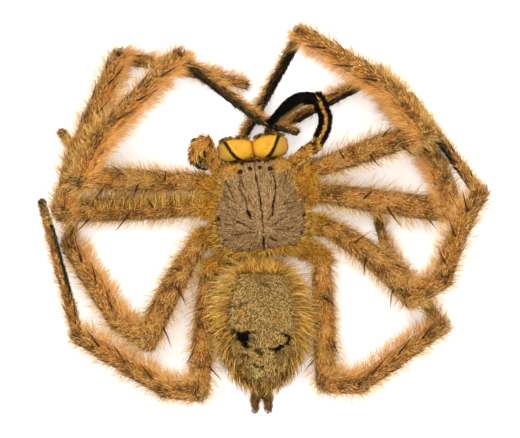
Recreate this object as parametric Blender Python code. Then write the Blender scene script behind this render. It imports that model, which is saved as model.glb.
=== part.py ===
"""A huntsman spider at life size, lying on its belly with its long legs folded round it.

Lengths are in millimetres until a mesh is made, which is in metres. +Z is up, and the
floor is z = 0. The origin is on the floor under the middle of the sternum, and the head
points to -Y. Fore and side places on the front body are given in that body's own axes,
which are turned a few degrees from the world's. The spider's left is at +X.
"""

import math
import random

import bmesh
import bpy
import numpy as np
from mathutils import Vector
from mathutils.bvhtree import BVHTree

MM = 0.001
TINY_EDGE = 0.0000005
JOINT_GAP = 0.3
SEAT_GAP = 0.12
FLOOR = 0.0

# Front body: its heading, and its sizes from the sternum's middle
BODY_HEADING = -83.6
CARAPACE_MIDDLE = 1.0
CARAPACE_RIM_BOTTOM = 2.8
CARAPACE_RIM_TOP = 3.15
CARAPACE_CROWN = 5.5
CARAPACE_HEAD_DROP = 0.5
FOVEA_AHEAD = -0.9
# The carapace's edge from straight ahead round to straight behind: angle and reach
CARAPACE_EDGE = (
    (0, 5.25), (20, 5.55), (39, 5.95), (59, 4.95), (80, 4.93), (95, 5.3),
    (108, 5.8), (123, 6.2), (136, 6.25), (150, 5.7), (165, 5.2), (180, 5.0),
)

# Abdomen: from its front to its rear, on a line beside the world's Y axis
ABDOMEN_X = -0.15
ABDOMEN_FRONT = 4.9
ABDOMEN_REAR = 18.5
ABDOMEN_HALF_WIDTH = 4.5
ABDOMEN_HALF_HEIGHT = 3.55
ABDOMEN_MIDDLE_HEIGHT = 3.4
PEDICEL_RADIUS = 0.7
PEDICEL_HEIGHT = 1.7

# Legs, front to back: length of each segment, and where the hip is beside and ahead
SEGMENTS = ("femur", "patella", "tibia", "metatarsus", "tarsus")
SEGMENT_LENGTHS = {
    1: (14.2, 5.5, 12.1, 11.4, 4.1),
    2: (15.2, 5.6, 12.7, 10.4, 3.8),
    3: (13.1, 4.1, 10.2, 9.9, 3.3),
    4: (14.1, 3.6, 11.4, 10.9, 4.2),
}
HIPS = {1: (6.3, 4.6), 2: (6.65, 2.0), 3: (6.6, -1.55), 4: (6.2, -4.95)}
HIP_HEIGHT = 1.4
LEG_GIRTH = {1: 0.97, 2: 1.05, 3: 1.03, 4: 0.97}
# Radius of a segment at its near end, its middle and its far end, on a leg of girth 1
SEGMENT_RADII = {
    "femur": (0.9, 1.2, 1.04),
    "patella": (1.04, 1.06, 0.96),
    "tibia": (0.95, 0.98, 0.78),
    "metatarsus": (0.62, 0.56, 0.5),
    "tarsus": (0.5, 0.5, 0.36),
}
SEGMENT_SIDES = {"femur": 8, "patella": 8, "tibia": 8, "metatarsus": 8, "tarsus": 8}
SEGMENT_STATIONS = {"femur": 4, "patella": 2, "tibia": 4, "metatarsus": 3, "tarsus": 3}
# The pose: each segment's heading in the floor plane, and the height of its far end
POSES = {
    ("left", 1): ((358, 6.9), (242, 6.6), (226, 4.4), (142, 2.8), (162, 2.5)),
    ("left", 2): ((2, 4.4), (257, 4.2), (247, 2.3), (168, 0.9), (166, 0.42)),
    ("left", 3): ((62, 4.6), (328, 3.0), (303, 1.6), (263, 0.5), (308, 0.42)),
    ("left", 4): ((85, 5.2), (354, 4.6), (329, 3.6), (285, 3.0), (286, 2.2)),
    ("right", 1): ((199, 7.4), (306, 7.1), (328, 6.4), (61, 0.8), (60, 0.42)),
    ("right", 2): ((172, 3.8), (289, 3.9), (303, 1.7), (28, 0.8), (26, 0.42)),
    ("right", 3): ((141, 5.0), (210, 5.3), (247, 6.3), (306, 4.6), (303, 4.2)),
    ("right", 4): ((92, 3.8), (176, 3.6), (215, 1.6), (305, 0.6), (285, 0.42)),
}
# How far the middle of a curved segment stands off its straight line, to the left of its heading
BOWS = {("left", 3, "femur"): -0.4, ("right", 3, "femur"): 0.8, ("right", 3, "tibia"): 0.45}

# Palps: base place, then each segment's far end beside, ahead and above that base
PALP_BASE = (4.0, 5.6, 2.0)
PALP_ROOT = (1.1, 3.4, 1.2)
PALP_RADII = {
    "right": {"femur": (0.58, 0.7, 0.64), "tibia": (0.64, 0.66, 0.62), "tarsus": (0.6, 0.74, 0.2)},
    "left": {"femur": (0.58, 0.66, 0.6), "tibia": (0.58, 0.62, 0.54), "tarsus": (0.5, 0.5, 0.2)},
}
PALP_STEPS = {
    "right": {
        "femur": ((2.9, 1.9, 1.8),),
        "tibia": ((4.35, 4.05, 2.4), (3.85, 6.65, 2.7)),
        "tarsus": ((1.55, 6.7, 2.6), (-1.45, 4.9, 2.1)),
    },
    "left": {
        "femur": ((1.3, 2.8, 1.8),),
        "tibia": ((1.1, 3.5, 3.1), (1.45, 2.75, 3.9), (2.2, 1.6, 3.1)),
        "tarsus": ((2.1, 0.75, 2.1), (1.6, 0.1, 1.15)),
    },
}

# Chelicerae: middle beside and ahead, half sizes, and the fang below
CHELICERA_PLACE = (1.95, 7.65)
CHELICERA_HALF = (1.78, 1.12)
CHELICERA_BOTTOM = 1.5
CHELICERA_TOP = 4.6

# Eyes: name, beside, ahead and radius
EYES = (
    ("front_middle", 0.5, 6.02, 0.22),
    ("front_side", 1.35, 5.86, 0.31),
    ("rear_middle", 0.55, 5.42, 0.25),
    ("rear_side", 1.62, 5.2, 0.29),
)

# Spines of a segment: shares of its length, and degrees round it from its left side over the top
SPINES = {
    "femur": ((0.3, 48), (0.42, 135), (0.64, 45), (0.76, 130)),
    "tibia": ((0.16, 20), (0.22, 158), (0.44, 28), (0.5, 152), (0.72, 24), (0.78, 156)),
    "metatarsus": ((0.14, 25), (0.18, 155), (0.48, 30), (0.54, 150)),
}
# Rows of locks along a segment: how many, at how many degrees round it, and the row's shift
LOCK_ROWS = {
    "femur": ((5, 4, 0.3), (5, 176, 0.7), (2, 88, 0.5)),
    "patella": ((2, 4, 0.4), (2, 176, 0.6)),
    "tibia": ((5, 4, 0.3), (5, 176, 0.7), (2, 92, 0.5)),
}
PALP_LOCK_ROWS = ((2, 5, 0.3), (2, 175, 0.7))
ABDOMEN_LOCK_ROWS = ((7, 12, 0.3), (6, -18, 0.6))
# A row runs between these shares of what it grows on
ROW_START = 0.06
ROW_END = 0.9
# Each kind's length with its sunk root, the width and thickness at its stations, and its lean:
# degrees from straight out towards the leg's tip, at its root and at its tip
GROWTHS = {
    "spine": (2.6, ((0.56, 0.62), (0.46, 0.52)), (38, 60)),
    "leg_lock": (2.6, ((1.3, 0.8), (1.35, 0.75)), (36, 72)),
    "abdomen_lock": (3.1, ((1.6, 0.8), (1.6, 0.75)), (22, 60)),
    "palp_lock": (1.9, ((1.1, 0.8), (1.1, 0.7)), (48, 84)),
}
GROWTH_SIDES = 3
ROOT_DEPTH = 0.42
GROWTH_CLEARANCE = 0.34
GROWTH_LOWEST = 0.12
GROWTH_SEED = 5
# The right second leg is regrown from its patella on, and a little shorter
REGROWN_SHARE = 0.96

SKIN = (0.36, 0.22, 0.09)
GOLD = (0.5, 0.28, 0.06)


def unit(vector):
    """The vector made one unit long."""
    vector = np.asarray(vector, dtype=float)
    return vector / np.linalg.norm(vector)


FORWARD = np.array([math.cos(math.radians(BODY_HEADING)), math.sin(math.radians(BODY_HEADING)), 0.0])
LEFTWARD = np.array([-FORWARD[1], FORWARD[0], 0.0])
UP = np.array([0.0, 0.0, 1.0])


def on_body(beside, ahead, height):
    """World place of a point given beside and ahead of the sternum's middle."""
    return LEFTWARD * beside + FORWARD * ahead + UP * height


def side_sign(side):
    """+1 for the spider's left and -1 for its right."""
    return 1.0 if side == "left" else -1.0


# Materials and objects

def material(name, colour, roughness):
    """A Principled finish of one colour."""
    finish = bpy.data.materials.new(name)
    finish.use_nodes = True
    shader = finish.node_tree.nodes["Principled BSDF"]
    shader.inputs["Base Color"].default_value = (*colour, 1.0)
    shader.inputs["Roughness"].default_value = roughness
    shader.inputs["Metallic"].default_value = 0.0
    finish.diffuse_color = (*colour, 1.0)
    return finish


def solid(name, shape, finish=None):
    """An object from points in millimetres and faces, with its faces turned outward."""
    points, faces = shape
    points = np.array(points, dtype=float)
    points[:, 2] = np.maximum(points[:, 2], FLOOR)
    mesh = bpy.data.meshes.new(name)
    mesh.from_pydata([tuple(p * MM) for p in points], [], faces)
    work = bmesh.new()
    work.from_mesh(mesh)
    bmesh.ops.recalc_face_normals(work, faces=work.faces)
    work.to_mesh(mesh)
    work.free()
    if finish:
        mesh.materials.append(finish)
    piece = bpy.data.objects.new(name, mesh)
    bpy.context.scene.collection.objects.link(piece)
    return piece


# Tubes

def ring_faces(rings, sides, close_start=True, close_end=True):
    """Faces of a skin over rings of points, each with the same number of sides."""
    faces = []
    for ring in range(rings - 1):
        for side in range(sides):
            after = (side + 1) % sides
            low = ring * sides
            high = low + sides
            faces.append((low + side, low + after, high + after, high + side))
    if close_start:
        faces.append(tuple(range(sides)))
    if close_end:
        last = (rings - 1) * sides
        faces.append(tuple(last + side for side in range(sides)))
    return faces


def mitred_end(seat, tangent, outward, arms, reach):
    """Two rings that round a tube's end over to the mitre plane it shares with its neighbour.

    seat is the joint, tangent points into the tube, outward is the plane's normal turned
    into the tube, arms are the vectors from the axis to the skin, and reach their lengths.
    """
    slant = float(np.dot(tangent, outward))
    seat = seat + tangent * (JOINT_GAP / 2) / slant
    edge, shoulder = [], []
    for arm, length in zip(arms, reach):
        lean = float(np.dot(arm, outward))
        if lean < 0:
            edge.append(seat + arm - tangent * lean / slant)
            shoulder.append(edge[-1] + tangent * 0.2 * length)
            continue
        turn = math.atan2(lean, length * slant)
        edge.append(seat + arm * math.cos(turn) - tangent * length * math.sin(turn))
        part = seat + arm * math.cos(turn / 2) - tangent * length * math.sin(turn / 2)
        short = 0.15 * length - float(np.dot(part - edge[-1], tangent))
        shoulder.append(part + tangent * max(short, 0.0))
    return seat, edge, shoulder


def frames(points, reference):
    """Tangent, sideways and upward axes at each point of a line."""
    tangents = [unit(t) for t in np.gradient(points, axis=0)]
    sideways = [unit(np.cross(reference, t)) for t in tangents]
    upward = [np.cross(t, s) for t, s in zip(tangents, sideways)]
    return tangents, sideways, upward


def tube(points, radii, sides, before=None, after=None, reference=UP, squash=1.0):
    """A closed tube along points. before and after are the neighbours' directions.

    An end with a neighbour is cut on the mitre plane, with half the joint's gap. An end
    with none is rounded.
    """
    points = np.asarray(points, dtype=float)
    tangents, sideways, upward = frames(points, reference)
    angles = [2 * math.pi * (side + 0.5) / sides for side in range(sides)]

    def arms(index, share=1.0):
        spread = [math.cos(a) * sideways[index] + squash * math.sin(a) * upward[index] for a in angles]
        return [vector * radii[index] * share for vector in spread]

    rings = []
    body = list(range(1, len(points) - 1))
    planes = []
    if before is not None:
        outward = unit(np.asarray(before) + tangents[0])
        own = arms(0)
        seat, edge, shoulder = mitred_end(
            points[0], tangents[0], outward, own, [np.linalg.norm(v) for v in own])
        rings += [edge, shoulder]
        planes.append((seat, outward, tangents[0], 1))
    else:
        for angle in (75, 35):
            share = math.cos(math.radians(angle))
            centre = points[0] + tangents[0] * radii[0] * (1 - math.sin(math.radians(angle)))
            rings.append([centre + arm for arm in arms(0, share)])
    end_rings = []
    if after is not None:
        inward = -tangents[-1]
        outward = -unit(np.asarray(after) + tangents[-1])
        own = arms(-1)
        seat, edge, shoulder = mitred_end(
            points[-1], inward, outward, own, [np.linalg.norm(v) for v in own])
        end_rings = [shoulder, edge]
        planes.append((seat, outward, inward, -1))
    else:
        for angle in (35, 75):
            share = math.cos(math.radians(angle))
            centre = points[-1] - tangents[-1] * radii[-1] * (1 - math.sin(math.radians(angle)))
            end_rings.append([centre + arm for arm in arms(-1, share)])
    for index in body:
        ring = [points[index] + arm for arm in arms(index)]
        for seat, outward, tangent, way in planes:
            steps = index if way > 0 else len(points) - 1 - index
            if steps > len(points) / 2:
                continue
            margin = (0.25 + 0.3 * steps) * radii[index]
            slant = float(np.dot(tangent, outward))
            ring = [
                p + tangent * max(0.0, margin - float(np.dot(p - seat, outward)) / slant)
                for p in ring
            ]
        rings.append(ring)
    rings += end_rings
    flat = [p for ring in rings for p in ring]
    return flat, ring_faces(len(rings), sides)


def swelling(radii, share):
    """Radius at a share of the length, from the near, middle and far radii."""
    near, middle, far = radii
    straight = near + (far - near) * share
    return straight + (middle - (near + far) / 2) * math.sin(math.pi * share)


# Legs

def leg_joints(side, number):
    """The hip, and the far end of each segment in turn."""
    beside, ahead = HIPS[number]
    joints = [on_body(side_sign(side) * beside, ahead, HIP_HEIGHT)]
    for index, (heading, height) in enumerate(POSES[side, number]):
        start = joints[-1]
        length = SEGMENT_LENGTHS[number][index]
        if (side, number) == ("right", 2) and index > 0:
            length *= REGROWN_SHARE
        plan = math.sqrt(length ** 2 - (height - start[2]) ** 2)
        turn = math.radians(heading)
        joints.append(np.array([
            start[0] + plan * math.cos(turn), start[1] + plan * math.sin(turn), height]))
    return joints


def coxa_start(side, number):
    """Where a leg's coxa leaves the sternum."""
    ahead = HIPS[number][1]
    return on_body(side_sign(side) * 1.2, ahead * 0.4, HIP_HEIGHT - 0.1)


def segment_line(side, number, index):
    """Centre line and radii of one segment of a leg."""
    name = SEGMENTS[index]
    start, end = leg_joints(side, number)[index:index + 2]
    stations = SEGMENT_STATIONS[name]
    shares = [0.0] + [0.1 + 0.8 * k / (stations - 1) for k in range(stations)] + [1.0]
    across = unit(np.cross(UP, end - start))
    bow = BOWS.get((side, number, name), 0.0)
    line = [start + (end - start) * f + across * bow * 4 * f * (1 - f) for f in shares]
    radii = [swelling(SEGMENT_RADII[name], f) * LEG_GIRTH[number] for f in shares]
    return line, radii


def leaving(line):
    """Direction in which a line starts."""
    return unit(line[1] - line[0])


def arriving(line):
    """Direction in which a line ends."""
    return unit(line[-1] - line[-2])


def coxa_line(side, number):
    """Centre line of a coxa, from the sternum to the hip."""
    hip = leg_joints(side, number)[0]
    start = coxa_start(side, number)
    return [start + (hip - start) * f for f in (0, 0.3, 0.6, 0.85, 1.0)]


def leg_segment(side, number, index):
    """One segment of a leg, mitred where it meets its neighbours."""
    line, radii = segment_line(side, number, index)
    if index == 0:
        before = arriving(coxa_line(side, number))
    else:
        before = arriving(segment_line(side, number, index - 1)[0])
    after = None
    if index + 1 < len(SEGMENTS):
        after = leaving(segment_line(side, number, index + 1)[0])
    return tube(line, radii, SEGMENT_SIDES[SEGMENTS[index]], before, after)


# Front body

def edge_reach(angle):
    """How far the carapace's edge is from its middle, at degrees from straight ahead."""
    angle = abs((angle + 180) % 360 - 180)
    knots = CARAPACE_EDGE
    place = max(k for k in range(len(knots) - 1) if knots[k][0] <= angle)
    before = knots[place - 1][1] if place else knots[1][1]
    low, high = knots[place], knots[place + 1]
    beyond = knots[place + 2][1] if place + 2 < len(knots) else knots[-2][1]
    t = (angle - low[0]) / (high[0] - low[0])
    rise_low, rise_high = (high[1] - before) / 2, (beyond - low[1]) / 2
    return (
        (2 * t ** 3 - 3 * t ** 2 + 1) * low[1] + (t ** 3 - 2 * t ** 2 + t) * rise_low
        + (3 * t ** 2 - 2 * t ** 3) * high[1] + (t ** 3 - t ** 2) * rise_high
    )


def furrow(beside, ahead):
    """Depth of the furrows on the carapace: the fovea, the head's two grooves, the rays."""
    beside = abs(beside)
    fovea = 0.3 * math.exp(-(beside / 0.3) ** 2 - ((ahead - FOVEA_AHEAD) / 1.2) ** 2)
    groove_line = 0.9 + 0.42 * (ahead - FOVEA_AHEAD)
    along = 1.0 if FOVEA_AHEAD - 0.3 < ahead < 4.0 else 0.0
    groove = 0.18 * along * math.exp(-((beside - groove_line) / 0.45) ** 2)
    angle = math.degrees(math.atan2(beside, ahead - FOVEA_AHEAD))
    ray = 0.14 * max(0.0, math.cos(math.radians((angle - 70) * 9))) * min(1.0, beside / 2.5)
    return max(fovea, groove, ray if angle > 60 else 0.0)


def carapace_height(beside, ahead):
    """Height of the carapace's upper face."""
    forward = ahead - CARAPACE_MIDDLE
    angle = math.degrees(math.atan2(beside, forward))
    share = min(1.0, math.hypot(beside, forward) / edge_reach(angle))
    facing = max(0.0, math.cos(math.radians(angle)))
    steep = 2.6 + 3.4 * facing ** 4
    crown = CARAPACE_CROWN - CARAPACE_HEAD_DROP * max(0.0, (ahead - FOVEA_AHEAD) / 7.0)
    rise = (1 - share ** steep) ** 0.6
    return CARAPACE_RIM_TOP + (crown - CARAPACE_RIM_TOP) * rise - furrow(beside, ahead) * rise


def carapace():
    """The shield over the front body: a domed upper face, a thin rim and a flat underside."""
    sectors = 36
    shares = (1.0, 1.0, 0.95, 0.84, 0.66, 0.46, 0.24)
    heights = [CARAPACE_RIM_BOTTOM] + [None] * 6
    points = []
    for share, height in zip(shares, heights):
        for sector in range(sectors):
            angle = 360.0 * sector / sectors
            reach = edge_reach(angle) * share
            beside = reach * math.sin(math.radians(angle))
            ahead = CARAPACE_MIDDLE + reach * math.cos(math.radians(angle))
            points.append(on_body(beside, ahead, height or carapace_height(beside, ahead)))
    faces = ring_faces(len(shares), sectors, close_end=False)
    crown = len(points)
    points.append(on_body(0, CARAPACE_MIDDLE, carapace_height(0, CARAPACE_MIDDLE)))
    last = (len(shares) - 1) * sectors
    faces += [(last + s, last + (s + 1) % sectors, crown) for s in range(sectors)]
    return points, faces


def sternum_pieces():
    """The sternum's block, with the eight coxae and the two palp bases that grow from it."""
    sectors = 20
    block = []
    for height, share in ((0.0, 0.82), (0.35, 1.0), (1.7, 1.0), (2.35, 0.8)):
        for sector in range(sectors):
            turn = 2 * math.pi * sector / sectors
            beside = 2.7 * share * math.sin(turn)
            ahead = 0.1 + 3.3 * share * math.cos(turn)
            block.append(on_body(beside, ahead, height))
    pieces = [(block, ring_faces(4, sectors))]
    for side in ("left", "right"):
        for number in HIPS:
            radii = [r * LEG_GIRTH[number] for r in (0.85, 1.02, 1.1, 1.04, 0.9)]
            after = leaving(segment_line(side, number, 0)[0])
            pieces.append(tube(coxa_line(side, number), radii, 10, after=after))
        after = leaving(palp_line(side, "femur"))
        pieces.append(tube(palp_root_line(side), (0.7, 0.74, 0.68, 0.58), 8, after=after))
    return pieces


def chelicera(side):
    """One chelicera: a bulging lobe that hangs in front of the carapace."""
    sign = side_sign(side)
    # Share of the height, share of the half sizes, and shift ahead
    levels = (
        (0.0, 0.5, -0.3), (0.08, 0.68, -0.28), (0.3, 0.85, -0.15), (0.6, 1.0, 0.0),
        (0.82, 0.93, 0.02), (0.95, 0.66, -0.05), (1.0, 0.34, -0.08),
    )
    sides = 12
    points = []
    for share, size, shift in levels:
        height = CHELICERA_BOTTOM + (CHELICERA_TOP - CHELICERA_BOTTOM) * share
        for corner in range(sides):
            turn = 2 * math.pi * (corner + 0.5) / sides
            c, s = math.cos(turn), math.sin(turn)
            wide = math.copysign(abs(c) ** 0.8, c) * CHELICERA_HALF[0] * size
            deep = math.copysign(abs(s) ** 0.8, s) * CHELICERA_HALF[1] * size
            middle = 0.18 + (CHELICERA_PLACE[0] - 0.18) * (0.35 + 0.65 * size)
            points.append(on_body(sign * (middle + wide), CHELICERA_PLACE[1] + shift + deep, height))
    return points, ring_faces(len(levels), sides)


def fang(side):
    """A fang, folded under its chelicera towards the midline."""
    sign = side_sign(side)
    path = ((2.0, 7.35, 1.75), (1.7, 7.2, 1.4), (1.0, 6.75, 1.33), (0.45, 6.2, 1.4))
    line = [on_body(sign * beside, ahead, height) for beside, ahead, height in path]
    return tube(line, (0.36, 0.32, 0.25, 0.1), 6, reference=FORWARD)


def palp_points(side):
    """Base of a palp, then the end of each step of its three nodes."""
    sign = side_sign(side)
    points = [on_body(sign * PALP_BASE[0], PALP_BASE[1], PALP_BASE[2])]
    for steps in PALP_STEPS[side].values():
        for beside, ahead, height in steps:
            points.append(on_body(
                sign * (PALP_BASE[0] + beside), PALP_BASE[1] + ahead, PALP_BASE[2] + height))
    return points


def smooth_line(points, per_step):
    """Points on a smooth curve through the given ones."""
    points = [np.asarray(p, dtype=float) for p in points]
    ends = [2 * points[0] - points[1]] + points + [2 * points[-1] - points[-2]]
    line = []
    for k in range(len(points) - 1):
        a, b, c, d = ends[k:k + 4]
        for step in range(per_step):
            t = step / per_step
            line.append(0.5 * (2 * b + (c - a) * t + (2 * a - 5 * b + 4 * c - d) * t ** 2
                               + (3 * b - a - 3 * c + d) * t ** 3))
    return line + [points[-1]]


def palp_root_line(side):
    """Centre line of the palp's base, from the sternum's front to where the palp is jointed."""
    sign = side_sign(side)
    start = on_body(sign * PALP_ROOT[0], PALP_ROOT[1], PALP_ROOT[2])
    base = palp_points(side)[0]
    return [start + (base - start) * f for f in (0, 0.35, 0.7, 1.0)]


def palp_line(side, name):
    """Centre line of one node of a palp."""
    points = palp_points(side)
    steps = PALP_STEPS[side]
    names = list(steps)
    first = sum(len(steps[n]) for n in names[:names.index(name)])
    count = len(steps[name])
    return smooth_line(points[first:first + count + 1], 4 if count == 1 else 3)


def palp_segment(side, name):
    """One node of a palp: the femur, the patella with the tibia, or the tarsus."""
    line = palp_line(side, name)
    names = list(PALP_STEPS[side])
    index = names.index(name)
    radii = [swelling(PALP_RADII[side][name], k / (len(line) - 1)) for k in range(len(line))]
    reference = LEFTWARD if side == "left" and name == "tibia" else UP
    before = arriving(palp_line(side, names[index - 1]) if index else palp_root_line(side))
    after = leaving(palp_line(side, names[index + 1])) if index + 1 < len(names) else None
    return tube(line, radii, 8, before, after, reference=reference)


def eye(side, name):
    """A low dome, seated just clear of the carapace."""
    label, beside, ahead, radius = next(e for e in EYES if e[0] == name)
    beside *= side_sign(side)
    step = 0.05
    here = carapace_height(beside, ahead)
    slope_side = (carapace_height(beside + step, ahead) - here) / step
    slope_ahead = (carapace_height(beside, ahead + step) - here) / step
    normal = unit(UP - LEFTWARD * slope_side - FORWARD * slope_ahead)
    across = unit(np.cross(normal, FORWARD))
    along = np.cross(normal, across)
    seat = on_body(beside, ahead, here) + normal * SEAT_GAP
    sides = 8
    points = []
    for rise in (0, 40):
        share = math.cos(math.radians(rise))
        for corner in range(sides):
            turn = 2 * math.pi * corner / sides
            arm = across * math.cos(turn) + along * math.sin(turn)
            points.append(seat + arm * radius * share + normal * radius * math.sin(math.radians(rise)))
    faces = ring_faces(2, sides, close_end=False)
    points.append(seat + normal * radius)
    faces += [(sides + s, sides + (s + 1) % sides, 2 * sides) for s in range(sides)]
    return points, faces


# Hind body

def abdomen_girth(share):
    """Share of the abdomen's full girth at a share of its length."""
    return math.sin(math.pi * share) ** 0.42


def abdomen_point(share, turn):
    """A point of the abdomen's skin at a share of its length and an angle round it."""
    girth = abdomen_girth(share)
    middle = ABDOMEN_MIDDLE_HEIGHT - 0.9 * (1 - girth)
    return np.array([
        ABDOMEN_X + ABDOMEN_HALF_WIDTH * girth * math.cos(turn),
        ABDOMEN_FRONT + (ABDOMEN_REAR - ABDOMEN_FRONT) * share,
        middle + ABDOMEN_HALF_HEIGHT * girth * math.sin(turn),
    ])


def abdomen_pieces():
    """The abdomen, flat where it rests on the floor, and the stalk that carries it."""
    sides = 20
    shares = (0.008, 0.04, 0.1, 0.2, 0.32, 0.45, 0.58, 0.7, 0.8, 0.88, 0.94, 0.98, 0.996)
    turns = [2 * math.pi * (corner + 0.5) / sides for corner in range(sides)]
    points = [abdomen_point(share, turn) for share in shares for turn in turns]
    stalk_start = on_body(0, -3.6, PEDICEL_HEIGHT)
    stalk_end = np.array([ABDOMEN_X, ABDOMEN_FRONT + 1.2, PEDICEL_HEIGHT + 0.6])
    stalk = tube(
        [stalk_start + (stalk_end - stalk_start) * f for f in (0, 0.4, 0.7, 1.0)],
        [PEDICEL_RADIUS] * 4, 10)
    return [(points, ring_faces(len(shares), sides)), stalk]


def spinneret_pieces():
    """The two long spinnerets and the short pair between them, on one base."""
    rear = ABDOMEN_REAR
    pieces = []
    for sign in (1, -1):
        x = ABDOMEN_X + sign * 0.72
        long_line = [(x - sign * 0.3, rear + 0.25, 1.7), (x, rear + 0.9, 1.55),
                     (x + sign * 0.02, rear + 1.8, 1.4), (x, rear + 2.6, 1.35)]
        pieces.append(tube(long_line, (0.5, 0.56, 0.5, 0.4), 8))
        short_line = [(ABDOMEN_X + sign * 0.3, rear + 0.2, 1.3), (ABDOMEN_X + sign * 0.36, rear + 0.8, 1.1),
                      (ABDOMEN_X + sign * 0.36, rear + 1.5, 1.0)]
        pieces.append(tube(short_line, (0.42, 0.42, 0.3), 6))
    base_line = [(ABDOMEN_X - 0.75, rear + 0.55, 1.5), (ABDOMEN_X, rear + 0.5, 1.5),
                 (ABDOMEN_X + 0.75, rear + 0.55, 1.5)]
    pieces.append(tube(base_line, (0.4, 0.45, 0.4), 8))
    return pieces


# Spines and locks

def shoot(root, outward, along, length, sizes, lean, twist):
    """A tapering spine or lock that starts near outward and bends towards along.

    sizes are its width and thickness at its stations, and lean is the angle from outward at
    its root and its tip. Its width lies in the plane of outward and along, or is turned out
    of it by twist.
    """
    along = unit(along - outward * float(np.dot(along, outward)))
    across = np.cross(outward, along)
    place = np.array(root)
    points = []
    for station, (width, thickness) in enumerate(sizes):
        turn = math.radians(lean[0] + (lean[1] - lean[0]) * station / len(sizes))
        heading = outward * math.cos(turn) + along * math.sin(turn)
        flat = along * math.cos(turn) - outward * math.sin(turn)
        wide = (flat * math.cos(twist) + across * math.sin(twist)) * width / 2
        thick = (across * math.cos(twist) - flat * math.sin(twist)) * thickness / 2
        for side in range(GROWTH_SIDES):
            angle = 2 * math.pi * (side - 0.25) / GROWTH_SIDES
            points.append(place + wide * math.cos(angle) + thick * math.sin(angle))
        place = place + heading * length / len(sizes)
    last = len(points) - GROWTH_SIDES
    faces = ring_faces(len(sizes), GROWTH_SIDES, close_end=False)
    faces += [(last + s, last + (s + 1) % GROWTH_SIDES, len(points)) for s in range(GROWTH_SIDES)]
    return points + [place], faces


def samples(shape, spacing=0.35):
    """Points spread over the faces of a shape."""
    points, faces = shape
    spread = []
    for face in faces:
        for k in range(1, len(face) - 1):
            a, b, c = (points[face[0]], points[face[k]], points[face[k + 1]])
            steps = 1 + int(max(np.linalg.norm(b - a), np.linalg.norm(c - a)) / spacing)
            for i in range(steps + 1):
                for j in range(steps + 1 - i):
                    spread.append(a + (b - a) * i / steps + (c - a) * j / steps)
    return spread


def tree_of(shape):
    """A tree of a shape's faces, to measure distances to it."""
    points, faces = shape
    return BVHTree.FromPolygons([Vector(p) for p in points], faces)


def clears(shape, name, trees):
    """Whether a shape of one node keeps off the floor and clear of every other node."""
    spread = samples(shape)
    if min(p[2] for p in spread) < GROWTH_LOWEST:
        return False
    for other, group in trees.items():
        if other == name:
            continue
        for tree in group:
            if any(tree.find_nearest(Vector(p), GROWTH_CLEARANCE)[0] is not None for p in spread):
                return False
    return True


def grow(name, root, outward, along, kind, twist, shapes, trees, chance):
    """Adds one spine or lock to a node, shortened or lifted until it clears the others."""
    length, sizes, lean = GROWTHS[kind]
    length *= chance.uniform(0.88, 1.08)
    swing = chance.uniform(-5, 5)
    for lift in (0.0, 0.35, 0.8):
        for share in (1.0, 0.78, 0.62):
            start = unit(outward + UP * lift)
            narrower = [(width * (0.5 + 0.5 * share), thickness) for width, thickness in sizes]
            shape = shoot(
                root, start, along, length * share, narrower,
                (lean[0] + swing, lean[1] + swing), twist)
            if clears(shape, name, trees):
                shapes[name].append(shape)
                trees[name].append(tree_of(shape))
                return True
    return False


def round_places(line, radii, places):
    """Root, outward and along directions on a tube, at shares of its length and angles round it."""
    points = np.asarray(line, dtype=float)
    tangents, sideways, upward = frames(points, UP)
    lengths = np.concatenate([[0], np.cumsum(np.linalg.norm(np.diff(points, axis=0), axis=1))])
    for share, degrees in places:
        spot = share * lengths[-1]
        index = int(np.searchsorted(lengths, spot)) - 1
        part = (spot - lengths[index]) / (lengths[index + 1] - lengths[index])
        centre = points[index] * (1 - part) + points[index + 1] * part
        radius = radii[index] * (1 - part) + radii[index + 1] * part
        turn = math.radians(degrees)
        outward = unit(sideways[index] * math.cos(turn) + upward[index] * math.sin(turn))
        yield centre + outward * (radius - ROOT_DEPTH), outward, tangents[index], turn


def row_places(rows):
    """Shares of the length and degrees round it of every lock in some rows."""
    return [
        (ROW_START + (ROW_END - ROW_START) * (place + shift) / count, degrees)
        for count, degrees, shift in rows for place in range(count)
    ]


def growth_of_leg(side, number, index):
    """Every spine and lock of one segment: root, directions, kind and twist."""
    name = SEGMENTS[index]
    line, radii = segment_line(side, number, index)
    for root, outward, along, _ in round_places(line, radii, SPINES.get(name, ())):
        yield root, outward, along, "spine", 0.0
    for root, outward, along, turn in round_places(line, radii, row_places(LOCK_ROWS.get(name, ()))):
        yield root, outward, along, "leg_lock", turn if math.sin(turn) > 0.5 else 0.0


def growth_of_palp(side, name):
    """The locks of a palp's tibia or tarsus."""
    line = palp_line(side, name)
    radii = [swelling(PALP_RADII[side][name], k / (len(line) - 1)) for k in range(len(line))]
    for root, outward, along, _ in round_places(line, radii, row_places(PALP_LOCK_ROWS)):
        yield root, outward, along, "palp_lock", 0.0


def growth_of_abdomen():
    """The locks that stand out round the abdomen's flanks."""
    step = 0.01
    for share, degrees in row_places(ABDOMEN_LOCK_ROWS):
        for turn in (math.radians(degrees), math.pi - math.radians(degrees)):
            here = abdomen_point(share, turn)
            backward = abdomen_point(share + step, turn) - here
            round_it = abdomen_point(share, turn + step) - here
            outward = unit(np.cross(round_it, backward))
            root = here - outward * ROOT_DEPTH
            yield root, outward, np.array([0.0, 1.0, 0.0]), "abdomen_lock", 0.0


# Joining

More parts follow.
